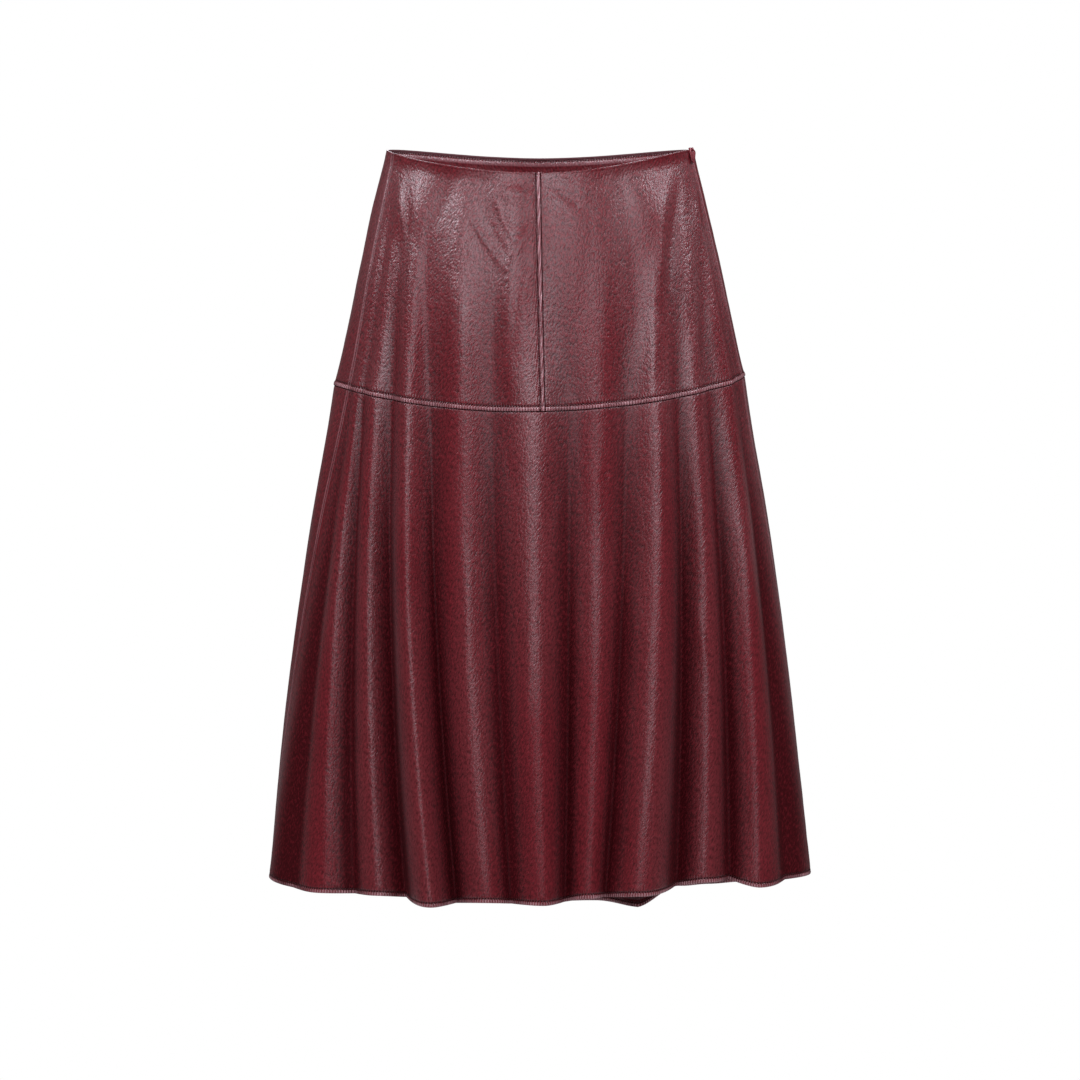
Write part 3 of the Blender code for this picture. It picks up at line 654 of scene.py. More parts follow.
# The yoke's pieces: the lines they lie on, the angles of their two seams at a level, how these are turned,
# and how many columns lie between them. The right half's turned edge lies over the left one.
Panel = namedtuple("Panel", "lines ends_at first last columns")
YOKE = {
    "front_yoke_right": Panel(
        FRONT_LINES,
        lambda level: (line_angles(FRONT_LINES, level)[0], centre_seam_angle(level)),
        PLAIN_SEAM,
        CENTRE_WELT,
        FRONT_YOKE_COLUMNS,
    ),
    "front_yoke_left": Panel(
        FRONT_LINES,
        lambda level: (centre_seam_angle(level), line_angles(FRONT_LINES, level)[-1]),
        UNDER_WELT,
        PLAIN_SEAM,
        FRONT_YOKE_COLUMNS,
    ),
    "back_yoke": Panel(
        BACK_LINES,
        lambda level: line_angles(BACK_LINES, level)[[0, -1]],
        PLAIN_SEAM,
        PLAIN_SEAM,
        BACK_YOKE_COLUMNS,
    ),
}


@lru_cache
def yoke_cloth(name):
    """A piece of the yoke, from the waist to the yoke's seam."""
    panel = YOKE[name]

    def row_of(down):
        level = down / YOKE_DEPTH
        ends = panel.ends_at(level)
        angles = column_angles(*ends, level, panel.first, panel.last, panel.columns)
        return yoke_row(panel.lines, angles, level)

    edges = (WAIST_ROLL, YOKE_WELT, panel.first, panel.last)
    return sheet_cloth(edges, YOKE_DEPTH - GAP / 2, (YOKE_ROWS, panel.columns), row_of, LEATHER_WALL)


def fold_columns(lines, level, counts):
    """The columns of the flared part at a level, counted in fold lines, so many to each fold."""
    last = len(lines) - 1
    tries = np.array([0, SKIRT_EDGE_STEP, last - SKIRT_EDGE_STEP, last])
    points, _ = place_on_girth(level, *fold_places(lines, tries, level)[:3])
    widths = np.linalg.norm(points[[1, 3]] - points[[0, 2]], axis=-1) / SKIRT_EDGE_STEP
    near = distances(PLAIN_SEAM) - SEAM_OVERLAP / 2
    left, right = near / widths[0], last - near[::-1] / widths[1]
    spans = [np.linspace(left[-1], 1, counts[0] + 1)[1:]]
    spans += [np.linspace(i, i + 1, counts[i] + 1)[1:] for i in range(1, last - 1)]
    spans.append(np.linspace(last - 1, right[0], counts[-1] + 1)[1:-1])
    return np.concatenate([left, *spans, right])


def fold_counts(lines):
    """How many columns each fold has, from its width near the hem."""
    folds = len(lines) - 1
    fine = np.linspace(0, folds, folds * SKIRT_COUNT_STEPS + 1)
    points, _ = place_on_girth(SKIRT_COUNT_LEVEL, *fold_places(lines, fine, SKIRT_COUNT_LEVEL)[:3])
    widths = np.diff(arc_lengths(points, 0)[::SKIRT_COUNT_STEPS])
    return np.maximum(SKIRT_LEAST_COLUMNS, np.ceil(widths / SKIRT_COLUMN_SPACING)).astype(int)


@lru_cache
def flared_cloth(lines):
    """The flared lower front or back, between the side seams, in its folds."""
    counts = fold_counts(lines)

    def row_of(down):
        level = 1 + (down + GAP / 2) / SKIRT_DEPTH
        return skirt_row(lines, fold_columns(lines, level, counts), level)

    edges = (UNDER_WELT, HEM_TURN, PLAIN_SEAM, PLAIN_SEAM)
    return sheet_cloth(edges, SKIRT_DEPTH - GAP / 2, (SKIRT_ROWS, sum(counts)), row_of, LEATHER_WALL)


@lru_cache
def facing_cloth():
    """The strip of leather inside the back waist, which stops clear of the zip's tape."""
    def row_of(down):
        level = (down + FACING_TOP) / YOKE_DEPTH
        left, right = line_angles(BACK_LINES, level)[[0, -1]]
        left += degrees_for(ZIP_TAPE_WIDTH / 2 + SOLIDS_WALL, left, level)
        right -= degrees_for(SOLIDS_WALL, right, level)
        angles = column_angles(left, right, level, CUT_EDGE, CUT_EDGE, BACK_YOKE_COLUMNS)
        return yoke_row(BACK_LINES, angles, level)

    edges, counts = (FACING_ROLL, CUT_EDGE, CUT_EDGE, CUT_EDGE), (FACING_ROWS, BACK_YOKE_COLUMNS)
    return sheet_cloth(edges, FACING_DEPTH, counts, row_of, FACING_WALL, SOLIDS_WALL + GAP)


@lru_cache
def zip_tape_cloth():
    """The concealed zip's tape, inside the left side seam and lying on both yokes."""
    across = spread(CUT_EDGE, CUT_EDGE, ZIP_TAPE_WIDTH, ZIP_TAPE_COLUMNS)

    def row_of(down):
        level = (down + ZIP_TAPE_TOP) / YOKE_DEPTH
        seam = line_angles(FRONT_LINES, level)[-1]
        angles = seam + degrees_for(across - ZIP_TAPE_WIDTH / 2, seam, level)
        front = yoke_row(FRONT_LINES, angles[angles <= seam], level)
        return np.concatenate([front, yoke_row(BACK_LINES, angles[angles > seam], level)])

    counts = (ZIP_TAPE_ROWS, ZIP_TAPE_COLUMNS)
    return sheet_cloth([CUT_EDGE] * 4, ZIP_LENGTH, counts, row_of, ZIP_TAPE_WALL, SOLIDS_WALL + GAP)


def flat_cut(cloth):
    """The width, length and area that a cloth had when it was cut: a piece of a ring, lying flat."""
    top, bottom = cloth.across[0, -1], cloth.across[-1, -1]
    depth = cloth.down[-1].mean()
    turn = abs(bottom - top) / depth
    inner = min(top, bottom) / turn
    outer = inner + depth
    width = 2 * outer * math.sin(min(turn, math.pi) / 2)
    return width, outer - inner * math.cos(turn / 2), (top + bottom) / 2 * depth


def new_object(name, mesh):
    """An object of a mesh, in the scene."""
    item = bpy.data.objects.new(name, mesh)
    bpy.context.scene.collection.objects.link(item)
    return item


def inner_side(cloth):
    """The points of a cloth's inner side."""
    return cloth.points - cloth.normals * cloth.wall[..., None]


def sheet_object(name, cloth, outer_finish, inner_finish, turned_up):
    """A sheet of cloth as a closed shell. Its inner side shows the outer finish so far up from its hem."""
    rows, columns = cloth.points.shape[:2]
    count = rows * columns
    index = np.arange(count).reshape(rows, columns)
    corners = (index[:-1, :-1], index[1:, :-1], index[1:, 1:], index[:-1, 1:])
    front = np.stack(corners, axis=-1).reshape(-1, 4)
    border = np.concatenate([index[0, :-1], index[:-1, -1], index[-1, :0:-1], index[:0:-1, 0]])
    onward = np.roll(border, -1)
    rim = np.stack([border, onward, onward + count, border + count], axis=-1)
    faces = np.concatenate([front, front[:, ::-1] + count, rim])
    mesh = bpy.data.meshes.new(name)
    points = np.stack([cloth.points, inner_side(cloth)]).reshape(-1, 3)
    mesh.from_pydata(points, [], faces)
    mesh.materials.append(outer_finish)
    mesh.materials.append(inner_finish)
    from_bottom = cloth.down[-1] - cloth.down
    lining = (from_bottom[:-1, :-1] > turned_up).reshape(-1)
    slots = np.concatenate([np.zeros(len(front)), lining, np.zeros(len(rim))]).astype(np.int32)
    mesh.polygons.foreach_set("material_index", slots)
    along = cloth.across - cloth.across[:, -1:] / 2
    plane = np.tile(np.stack([along, cloth.down], axis=-1).reshape(-1, 2), (2, 1))
    mesh.uv_layers.new(name="cloth").data.foreach_set("uv", plane[faces.reshape(-1)].reshape(-1))
    measures = {
        "relief": cloth.relief,
        "from_top": cloth.down,
        "from_bottom": from_bottom,
        "from_right": cloth.across,
        "from_left": cloth.across[:, -1:] - cloth.across,
    }
    for attribute, values in measures.items():
        data = mesh.attributes.new(attribute, "FLOAT", "POINT").data
        data.foreach_set("value", np.tile(values.reshape(-1), 2))
    mesh.shade_smooth()
    mesh.update()
    return new_object(name, mesh)


def piece(item, body, slot, *nodes):
    """Hand a finished piece to the body that carries it, in place of its solids."""
    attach(item, body)
    if nodes:
        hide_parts(*nodes)


def cloth_piece(name, cloth, node, finish, inner_finish, slot="leather", turned_up=0.0):
    """A sheet of cloth, built and carried."""
    item = sheet_object(name, cloth, finish, inner_finish, turned_up)
    piece(item, "skirt", slot, node)
    width, length, area = flat_cut(cloth)


# ---- sewing

def row_at(border_edges, distance, from_end=False):
    """Which row or column stands at a distance in from an edge."""
    index = int(np.argmin(np.abs(distances(border_edges) - distance)))
    return -1 - index if from_end else index


@contextmanager
def editing(item, kind="VERT", chosen=None):
    """Edit mode, with the parts of an item that a test picks selected, or else all of it."""
    bpy.ops.object.mode_set(mode="EDIT")
    bpy.ops.mesh.select_mode(type=kind)
    bpy.ops.mesh.select_all(action="DESELECT" if chosen else "SELECT")
    if chosen:
        bpy.ops.object.mode_set(mode="OBJECT")
        for part in item.data.vertices if kind == "VERT" else item.data.polygons:
            part.select = chosen(part)
        bpy.ops.object.mode_set(mode="EDIT")
    yield
    bpy.ops.object.mode_set(mode="OBJECT")


def settled():
    """The object just made, with its place and size taken up by its mesh."""
    bpy.ops.object.transform_apply(location=True, rotation=True, scale=True)
    return bpy.context.object


def joined(item, other):
    """Two objects made into the first one."""
    other.select_set(True)
    item.select_set(True)
    bpy.context.view_layer.objects.active = item
    bpy.ops.object.join()
    return item


def bead(size):
    """The points and faces of one stitch: a short round body, full in the middle and sunk at both ends."""
    bpy.ops.object.select_all(action="DESELECT")
    bpy.ops.mesh.primitive_uv_sphere_add(segments=BEAD_SIDES, ring_count=BEAD_RINGS, radius=0.5)
    item = bpy.context.object
    with editing(item):
        bpy.ops.transform.rotate(value=math.pi / 2, orient_axis="Y", center_override=(0, 0, 0))
        bpy.ops.transform.resize(value=size, center_override=(0, 0, 0))
    points = np.array([vertex.co for vertex in item.data.vertices])
    faces = [list(polygon.vertices) for polygon in item.data.polygons]
    bpy.data.objects.remove(item)
    return points, faces


def place_along(line, outs, pitch):
    """Places at an even pitch along a line, counted from its middle: points, ways along and ways out."""
    run = arc_lengths(line, 0)
    count = int((run[-1] / 2 - STITCH_INSET) / pitch)
    stops = run[-1] / 2 + pitch * (np.arange(-count, count) + 0.5)

    def at(stops, values):
        return np.stack([np.interp(stops, run, values[:, axis]) for axis in range(3)], axis=-1)

    points = at(stops, line)
    return points, at(stops + pitch / 4, line) - points, at(stops, outs)


def stitches(name, lines, pitch, size, lift, finish):
    """Rows of stitches as one piece, along lines that are each a pair of points and ways out."""
    shape, shape_faces = bead(size)
    points, faces = [], []
    for line, outs in lines:
        for place, along, out in zip(*place_along(line, outs, pitch)):
            along = Vector(along).normalized()
            side = Vector(out).cross(along).normalized()
            out = along.cross(side)
            start = len(points) * len(shape)
            points.append(shape @ np.array([along, side, out]) + place + np.array(out) * lift)
            faces += [[start + corner for corner in face] for face in shape_faces]
    mesh = bpy.data.meshes.new(name)
    mesh.from_pydata(np.concatenate(points), [], faces)
    mesh.materials.append(finish)
    mesh.shade_smooth()
    return new_object(name, mesh)


# ---- finishes

class Amount:
    """A number that changes over a surface: arithmetic on it adds Math nodes to its finish."""

    def __init__(self, finish, socket):
        self.finish = finish
        self.socket = socket

    def worked(self, operation, first, second=0.0):
        return self.finish.node("ShaderNodeMath", {"operation": operation}, {0: first, 1: second}, 0)

    def __add__(self, other):
        return self.worked("ADD", self, other)

    def __sub__(self, other):
        return self.worked("SUBTRACT", self, other)

    def __mul__(self, other):
        return self.worked("MULTIPLY", self, other)

    def sine(self):
        return self.worked("SINE", self)

    def size(self):
        return self.worked("ABSOLUTE", self)

    def most(self, other):
        return self.worked("MAXIMUM", self, other)

    __radd__ = __add__
    __rmul__ = __mul__


class Finish:
    """A material's nodes, added one by one."""

    def __init__(self, name, roughness=0.5, metallic=0.0, sheen=0.0, gloss=0.5):
        self.material = bpy.data.materials.new(name)
        self.material.use_nodes = True
        self.nodes = self.material.node_tree.nodes
        self.links = self.material.node_tree.links
        self.shader = self.nodes["Principled BSDF"]
        self.shader.inputs["Roughness"].default_value = roughness
        self.shader.inputs["Metallic"].default_value = metallic
        self.shader.inputs["Sheen Weight"].default_value = sheen
        self.shader.inputs["Specular IOR Level"].default_value = gloss

    def node(self, kind, settings, sockets, output):
        """A new node with its settings, its sockets' values or links, and one output to go on with."""
        node = self.nodes.new(kind)
        for name, value in settings.items():
            setattr(node, name, value)
        for name, value in sockets.items():
            if isinstance(value, Amount):
                self.links.new(value.socket, node.inputs[name])
            else:
                node.inputs[name].default_value = value
        return Amount(self, node.outputs[output])

    def attribute(self, name):
        """One of the cloth's own distances, in metres."""
        return self.node("ShaderNodeAttribute", {"attribute_name": name}, {}, "Fac")

    def plane(self, across, down, lean_deg=0.0, sway=0.0):
        """Places on the cloth, counted in steps of so many metres along and down, leaning and swaying."""
        place = self.node("ShaderNodeUVMap", {"uv_map": "cloth"}, {}, "UV")
        if sway:
            drift = (self.clouds(self.plane(*SWAY), SOFT) - 0.5) * sway
            aside = self.node("ShaderNodeCombineXYZ", {}, {"X": drift}, 0)
            place = self.node("ShaderNodeVectorMath", {"operation": "ADD"}, {0: place, 1: aside}, 0)
        sockets = {"Vector": place, "Rotation": (0, 0, math.radians(lean_deg)), "Scale": (across, down, 1.0)}
        return self.node("ShaderNodeMapping", {"vector_type": "TEXTURE"}, sockets, 0)

    def space(self, across, down):
        """Places in the object, counted in steps of so many metres across and down."""
        place = self.node("ShaderNodeTexCoord", {}, {}, "Object")
        steps = (1 / across, 1 / across, 1 / down)
        return self.node("ShaderNodeVectorMath", {"operation": "MULTIPLY"}, {0: place, 1: steps}, 0)

    def clouds(self, place, detail=PLAIN):
        """Soft noise, from 0 to 1."""
        sockets = {"Vector": place, "Scale": 1.0, "Detail": detail}
        return self.node("ShaderNodeTexNoise", {}, sockets, "Fac")

    def cells(self, place):
        """The distance from the nearest cell's middle, about 0 to 0.7."""
        return self.node("ShaderNodeTexVoronoi", {}, {"Vector": place, "Scale": 1.0}, "Distance")

    def near(self, away, start, end):
        """1 where an amount is below start, falling smoothly to 0 at end."""
        settings = {"interpolation_type": "SMOOTHSTEP"}
        sockets = {"Value": away, "From Min": start, "From Max": end, "To Min": 1.0, "To Max": 0.0}
        return self.node("ShaderNodeMapRange", settings, sockets, 0)

    def tone(self, share, under, over):
        """A colour between two, by share."""
        colours = [colour if isinstance(colour, Amount) else (*colour, 1.0) for colour in (under, over)]
        sockets = {0: share, 6: colours[0], 7: colours[1]}
        return self.node("ShaderNodeMix", {"data_type": "RGBA"}, sockets, 2)

    def show(self, colour, roughness=None, height=None, matt=None):
        """Lead the colour, the roughness and the height of the surface, in metres, to the shader. Matt is how
        far the surface has no shine at all."""
        bump = None
        if height is not None:
            bump = self.node("ShaderNodeBump", {}, {"Distance": 1.0, "Height": height}, 0)
        for name, amount in {"Base Color": colour, "Roughness": roughness, "Normal": bump}.items():
            if amount is not None:
                self.links.new(amount.socket, self.shader.inputs[name])
        if matt is not None:
            sockets = {"Base Color": colour, "Roughness": DULL, "Specular IOR Level": 0.0, "Normal": bump}
            dull = self.node("ShaderNodeBsdfPrincipled", {}, sockets, 0)
            sockets = {0: matt, 1: Amount(self, self.shader.outputs[0]), 2: dull}
            both = self.node("ShaderNodeMixShader", {}, sockets, 0)
            self.links.new(both.socket, self.nodes["Material Output"].inputs["Surface"])
        return self.material


def scaled(values, share):
    """A colour made so much lighter or darker, a band so much wider, or weights so much larger."""
    return tuple(value * share for value in values)


def weighted(amounts, weights):
    """The sum of amounts, each times its weight."""
    return sum(amount * weight for amount, weight in zip(amounts, weights))


class Row:
    """How a row of stitches that lies so far in from an edge changes the leather round it."""

    def __init__(self, finish, attribute, line):
        away = finish.attribute(attribute)
        along = finish.node("ShaderNodeSeparateXYZ", {}, {0: finish.plane(STITCH_PITCH, 1.0)}, 0)
        wave = (along * (2 * math.pi)).sine()
        uneven = finish.clouds(finish.plane(*PUCKERS), SOFT)
        beside = (away - line).size()
        groove = finish.near(beside, *GROOVE) * (GROOVE_WAVE[0] + GROOVE_WAVE[1] * wave)
        drawn = finish.near(beside, *PUCKERED)
        self.height = (wave * uneven * drawn) * PUCKER_DEPTH - groove * STITCH_GROOVE
        # Painted shade in the stitch groove, darker at each stitch.
        self.painted_shade = groove
        # A painted highlight band between the row and the edge, brighter on each pucker and uneven along the
        # row.
        stretches = finish.clouds(finish.plane(*STRETCHES))
        band = finish.near(away, *scaled(PAINTED_HIGHLIGHT_BAND, line))
        self.painted_highlight = band * (PAINTED_HIGHLIGHT_WAVE[0] + PAINTED_HIGHLIGHT_WAVE[1] * wave) * (stretches * stretches)


def leather(name, stitched=(), highlighted_lines=(), sunk=()):
    """Soft garment leather: fine uneven grain, small wrinkles, a satin finish that is a little streaky,
    with painted shade in the folds' hollows and painted light on their tops. Stitched gives each row of
    stitches as the attribute it is measured by and its distance from that edge; each row gets painted
    shade in its groove and a painted highlight beside it. The next argument does the same for lines along
    which the leather stands out and gets a painted highlight. The last gives the edges at which it dips
    into a seam, where painted shade darkens it."""
    settings = bpy.context.scene.skirt_leather
    colour = tuple(settings.colour)
    finish = Finish(name, sheen=settings.sheen, gloss=settings.gloss)
    relief = finish.attribute("relief")
    # The folds' hollows, by their relief: painted shade darkens them and they lose their shine.
    shaded_hollow = finish.near(relief, *SHADED_HOLLOWS)
    grain = finish.clouds(finish.plane(*GRAIN))
    pores = finish.cells(finish.plane(*PORES))
    small = finish.clouds(finish.plane(*SMALL_WRINKLES))
    wrinkles = finish.clouds(finish.plane(*WRINKLES))
    streaks = finish.clouds(finish.space(*STREAKS), FINE)
    patches = finish.clouds(finish.space(*PATCHES), SOFT)
    height = weighted((grain, pores, small, wrinkles), scaled(HEIGHT_WEIGHTS, settings.grain_depth))
    rough = weighted((streaks, small, shaded_hollow), ROUGHNESS_WEIGHTS) + (settings.roughness + ROUGHNESS_START)
    # Relief and hollows paint light on the folds' tops and shade in their hollows into the tone.
    tint = weighted((streaks, small, grain, relief, shaded_hollow), TONE_WEIGHTS) + TONE_START
    base = finish.tone(tint, *(scaled(colour, share) for share in LEATHER_SHADES))
    matt = (shaded_hollow * HOLLOW_MATT).most(finish.near(grain, *MATT_SPOTS) * SPOT_MATT)
    matt = matt.most(finish.near(patches, *MATT_PATCHES) * PATCH_MATT)
    for attribute, line in stitched:
        row = Row(finish, attribute, line)
        height = height + row.height
        rough = rough - row.painted_highlight * HIGHLIGHT_BAND_SMOOTHER
        matt = matt.most(row.painted_shade)
        # A painted highlight beside the row and painted shade in its groove.
        base = finish.tone(row.painted_highlight, base, PAINTED_HIGHLIGHT_COLOUR)
        base = finish.tone(row.painted_shade, base, scaled(colour, SEAM_SHADE))
    # Painted highlights along the lines where the leather stands out.
    for attribute, line in highlighted_lines:
        away = finish.attribute(attribute)
        painted_highlight = finish.near((away - line).size(), *scaled(PUFFED_BAND, line)) * streaks
        rough = rough - painted_highlight * PUFFED_SMOOTHER
        base = finish.tone(painted_highlight * PUFFED_HIGHLIGHT, base, PAINTED_HIGHLIGHT_COLOUR)
    # Painted shade where the leather dips into a seam.
    for attribute in sunk:
        painted_shade = finish.near(finish.attribute(attribute), *SUNK)
        matt = matt.most(painted_shade)
        base = finish.tone(painted_shade, base, scaled(colour, SEAM_SHADE))
    return finish.show(base, rough, height, matt)


def leather_back(name):
    """The fleshy back of the leather, short-napped and matt."""
    colour = bpy.context.scene.skirt_leather.back_colour
    finish = Finish(name)
    nap = finish.clouds(finish.plane(*NAP), FINE)
    clouds = finish.clouds(finish.plane(*BACK_CLOUDS), FINE)
    tint = weighted((nap, clouds), BACK_TONE_WEIGHTS)
    base = finish.tone(tint, *(scaled(colour, share) for share in BACK_SHADES))
    rough = clouds * BACK_ROUGHNESS[0] + BACK_ROUGHNESS[1]
    return finish.show(base, rough, weighted((nap, clouds), BACK_HEIGHTS))


def woven_tape(name):
    """The zip's tape: a fine even weave with a slight rib."""
    finish = Finish(name, roughness=TAPE_ROUGHNESS)
    place = finish.plane(*WEAVE)
    across, down = (finish.node("ShaderNodeSeparateXYZ", {}, {0: place}, axis) for axis in (0, 1))
    weave = (across * (2 * math.pi)).sine() * (down * (2 * math.pi)).sine()
    return finish.show(finish.tone(weave * 0.5 + 0.5, *TAPE_COLOURS), height=weave * TAPE_RIB)


def spotted(name, size, colours, roughness, metallic):
    """Thread or paint, a little uneven from spot to spot."""
    finish = Finish(name, metallic=metallic)
    spots = finish.clouds(finish.space(size, size))
    base = finish.tone(spots, *colours)
    return finish.show(base, spots * SPOT_ROUGHNESS + roughness, spots * SPOT_HEIGHT)


# ---- the zip's slider and pull tab

def zip_frame():
    """The zip hardware's directions as a matrix: across, outwards and up the seam, from the hinge's axis."""
    across = ZIP_OUT.cross(Vector((0, 0, 1))).normalized()
    place = Matrix((across, ZIP_OUT, across.cross(ZIP_OUT))).transposed().to_4x4()
    place.translation = HINGE
    return place


def finish_hard(item, name, place, bevel, segments):
    """Round a hard piece's edges, smooth its shading and put it in place."""
    item.name = name
    rounding = item.modifiers.new("rounding", "BEVEL")
    rounding.width = bevel
    rounding.segments = segments
    rounding.limit_method = "ANGLE"
    bpy.ops.object.modifier_apply(modifier="rounding")
    item.data.transform(place)
    bpy.ops.object.shade_smooth_by_angle(angle=math.radians(SMOOTH_UNDER_DEG))
    item.data.materials.append(spotted(name + "_paint", *PAINTED_ZINC))


def make_slider():
    """The slider's body, narrower at its foot, with a raised cap, and the wire loop that holds the tab."""
    bpy.ops.object.select_all(action="DESELECT")
    middle = -SLIDER_FRONT - SLIDER_SIZE[1] / 2
    rise = LOOP_RADIUS + SLIDER_ROUNDING - SLIDER_SIZE[2] / 2
    foot = (0, middle, rise - SLIDER_SIZE[2] / 2)
    bpy.ops.mesh.primitive_cube_add(size=1, location=(0, middle, rise))
    bpy.context.object.scale = SLIDER_SIZE
    body = settled()
    with editing(body, "FACE", lambda face: face.normal.z < -FACES_THAT_WAY):
        bpy.ops.transform.resize(value=SLIDER_FOOT, center_override=foot)
    with editing(body, "FACE", lambda face: face.normal.y > FACES_THAT_WAY):
        bpy.ops.mesh.inset(thickness=SLIDER_CAP_INSET, depth=0)
        bpy.ops.transform.translate(value=(0, SLIDER_CAP_RISE, 0))
    finish_hard(body, "zip_slider_body", zip_frame(), *SLIDER_BEVEL)
    bpy.ops.object.select_all(action="DESELECT")
    bpy.ops.mesh.primitive_torus_add(
        major_radius=LOOP_RADIUS, minor_radius=LOOP_WIRE, major_segments=LOOP_CORNERS,
        minor_segments=LOOP_WIRE_CORNERS, rotation=(0, math.pi / 2, 0),
    )
    loop = settled()
    loop.data.transform(zip_frame())
    loop.data.materials.append(body.data.materials[0])
    return joined(body, loop)


def ring(radius, count, height):
    """A round outline as a new object, so high up."""
    bpy.ops.mesh.primitive_circle_add(vertices=count, radius=radius, location=(0, height, 0))
    return settled()


def make_tab():
    """The drop-shaped pull tab: a plate with soft edges and a slot at its head for the slider's loop."""
    bpy.ops.object.select_all(action="DESELECT")
    head = TAB_BAR / 2 - TAB_HEAD_RADIUS
    tip = TAB_BAR / 2 - TAB_LENGTH + TAB_TIP_RADIUS
    slant = (TAB_HEAD_RADIUS - TAB_TIP_RADIUS) / (head - tip)
    shrink = TAB_TIP_RADIUS / TAB_HEAD_RADIUS
    plate = ring(TAB_HEAD_RADIUS, TAB_CORNERS, head)
    with editing(plate, "VERT", lambda vertex: vertex.co.y - head < -TAB_HEAD_RADIUS * slant):
        bpy.ops.transform.resize(value=(shrink, shrink, 1), center_override=(0, head, 0))
        bpy.ops.transform.translate(value=(0, tip - head, 0))
    eye = ring(TAB_EYE_HEIGHT / 2, TAB_EYE_CORNERS, -TAB_BAR / 2 - TAB_EYE_HEIGHT / 2)
    with editing(eye):
        bpy.ops.transform.resize(value=(TAB_EYE_WIDTH / TAB_EYE_HEIGHT, 1, 1), center_override=(0, 0, 0))
    joined(plate, eye)
    with editing(plate):
        bpy.ops.mesh.bridge_edge_loops()
    thick = plate.modifiers.new("thick", "SOLIDIFY")
    thick.thickness = TAB_THICKNESS
    thick.offset = 0
    bpy.ops.object.modifier_apply(modifier="thick")
    with editing(plate):
        bpy.ops.mesh.normals_make_consistent(inside=False)
    turn = Matrix.Rotation(math.pi / 2 - math.radians(TAB_LEAN_DEG), 4, "X")
    finish_hard(plate, "zip_pull", zip_frame() @ turn, *TAB_BEVEL)
    return plate


# ---- the add-on

def dye_setting(name, description, default):
    """A colour that can be set."""
    return FloatVectorProperty(
        name=name, description=description, subtype="COLOR", size=3, min=0, max=1, default=default
    )


def share_setting(name, description, default, least=0.0):
    """A share that can be set, up to 1."""
    return FloatProperty(
        name=name, description=description, subtype="FACTOR", min=least, max=1, default=default
    )


def length_setting(name, description, default, least, most):
    """A length that can be set, in metres."""
    return FloatProperty(
        name=name, description=description, unit="LENGTH", min=least, max=most, default=default
    )


class SkirtLeatherSettings(bpy.types.PropertyGroup):
    """What the leather is like."""

    colour: dye_setting("Colour", "Dye of the leather's face", (0.08, 0.0058, 0.0089))
    back_colour: dye_setting("Back colour", "Colour of the leather's napped back", (0.055, 0.010, 0.013))
    roughness: share_setting("Roughness", "How matt the finish is", 0.32, 0.1)
    sheen: share_setting("Sheen", "Soft bloom at grazing angles", 0.05)
    gloss: share_setting("Gloss", "How strongly the finish shines", 0.5)
    grain_depth: length_setting("Grain depth", "How deep the finest grain is", 0.42 * MM, 0.0, 1 * MM)


class SkirtSewingSettings(bpy.types.PropertyGroup):
    """How the skirt is sewn."""

    stitch_length: length_setting("Stitch length", "How much of each stitch shows", 2.1 * MM, 1 * MM, 5 * MM)
    thread_width: length_setting("Thread width", "How thick the thread is", 0.5 * MM, 0.1 * MM, 1 * MM)


class SkirtStageSettings(bpy.types.PropertyGroup):
    """The floor and the light."""

    floor_height: length_setting("Floor height", "How high the floor lies", -1.2, -3.0, -0.9)
    key_power: FloatProperty(
        name="Key power", description="Power of the large light in front", unit="POWER", min=0, max=1000,
        default=29,
    )
    surround: FloatProperty(
        name="Surround", description="Brightness of the pale room around", min=0, max=2, default=0.15
    )


class SKIRT_OT_front_yoke(bpy.types.Operator):
    """Make both halves of the front yoke"""

    bl_idname = "skirt.front_yoke"
    bl_label = "Front Yoke"

    def execute(self, context):
        back = leather_back("leather_back")
        below, beside = ("from_bottom", YOKE_STITCH_ROW), ("from_left", CENTRE_STITCH_ROW)
        # Painted highlights beside the side seams; painted shade at the left half's centre-front edge.
        right = leather("yoke_right_leather", (below, beside), (("from_right", SEAM_PUFF),))
        left = leather("yoke_left_leather", (below,), (("from_left", SEAM_PUFF),), ("from_right",))
        for name, finish in (("front_yoke_right", right), ("front_yoke_left", left)):
            cloth_piece(name + "_leather", yoke_cloth(name), name, finish, back)
        return {"FINISHED"}


class SKIRT_OT_back_yoke(bpy.types.Operator):
    """Make the back yoke and the facing inside its waist"""

    bl_idname = "skirt.back_yoke"
    bl_label = "Back Yoke"

    def execute(self, context):
        back = leather_back("yoke_leather_back")
        # Painted highlights beside both side seams.
        finish = leather("back_yoke_leather_face", (("from_bottom", YOKE_STITCH_ROW),), SIDE_SEAMS)
        cloth_piece("back_yoke_leather", yoke_cloth("back_yoke"), "back_yoke", finish, back)
        # A painted highlight band just below the facing's rolled top.
        highlighted_lines = (("from_top", FACING_SHINE),)
        inside = leather("facing_leather_face", (("from_top", UNDERSTITCH_ROW),), highlighted_lines)
        cloth_piece(
            "back_waist_facing_leather", facing_cloth(), "back_waist_facing", back, inside, "facing_leather",
        )
        return {"FINISHED"}


class SKIRT_OT_flared_panels(bpy.types.Operator):
    """Make the flared lower front and back"""

    bl_idname = "skirt.flared_panels"
    bl_label = "Flared Panels"

    def execute(self, context):
        back = leather_back("skirt_leather_back")
        hem = (("from_bottom", HEM_STITCH_ROW),)
        # Painted highlights beside the side seams and painted shade at the top edge, under the yoke's welt.
        finish = leather("skirt_leather_face", hem, SIDE_SEAMS, ("from_top",))
        for name, lines in (("front_skirt", FRONT_LINES), ("back_skirt", BACK_LINES)):
            cloth_piece(name + "_leather", flared_cloth(lines), name, finish, back, turned_up=HEM_TURNING)
        return {"FINISHED"}


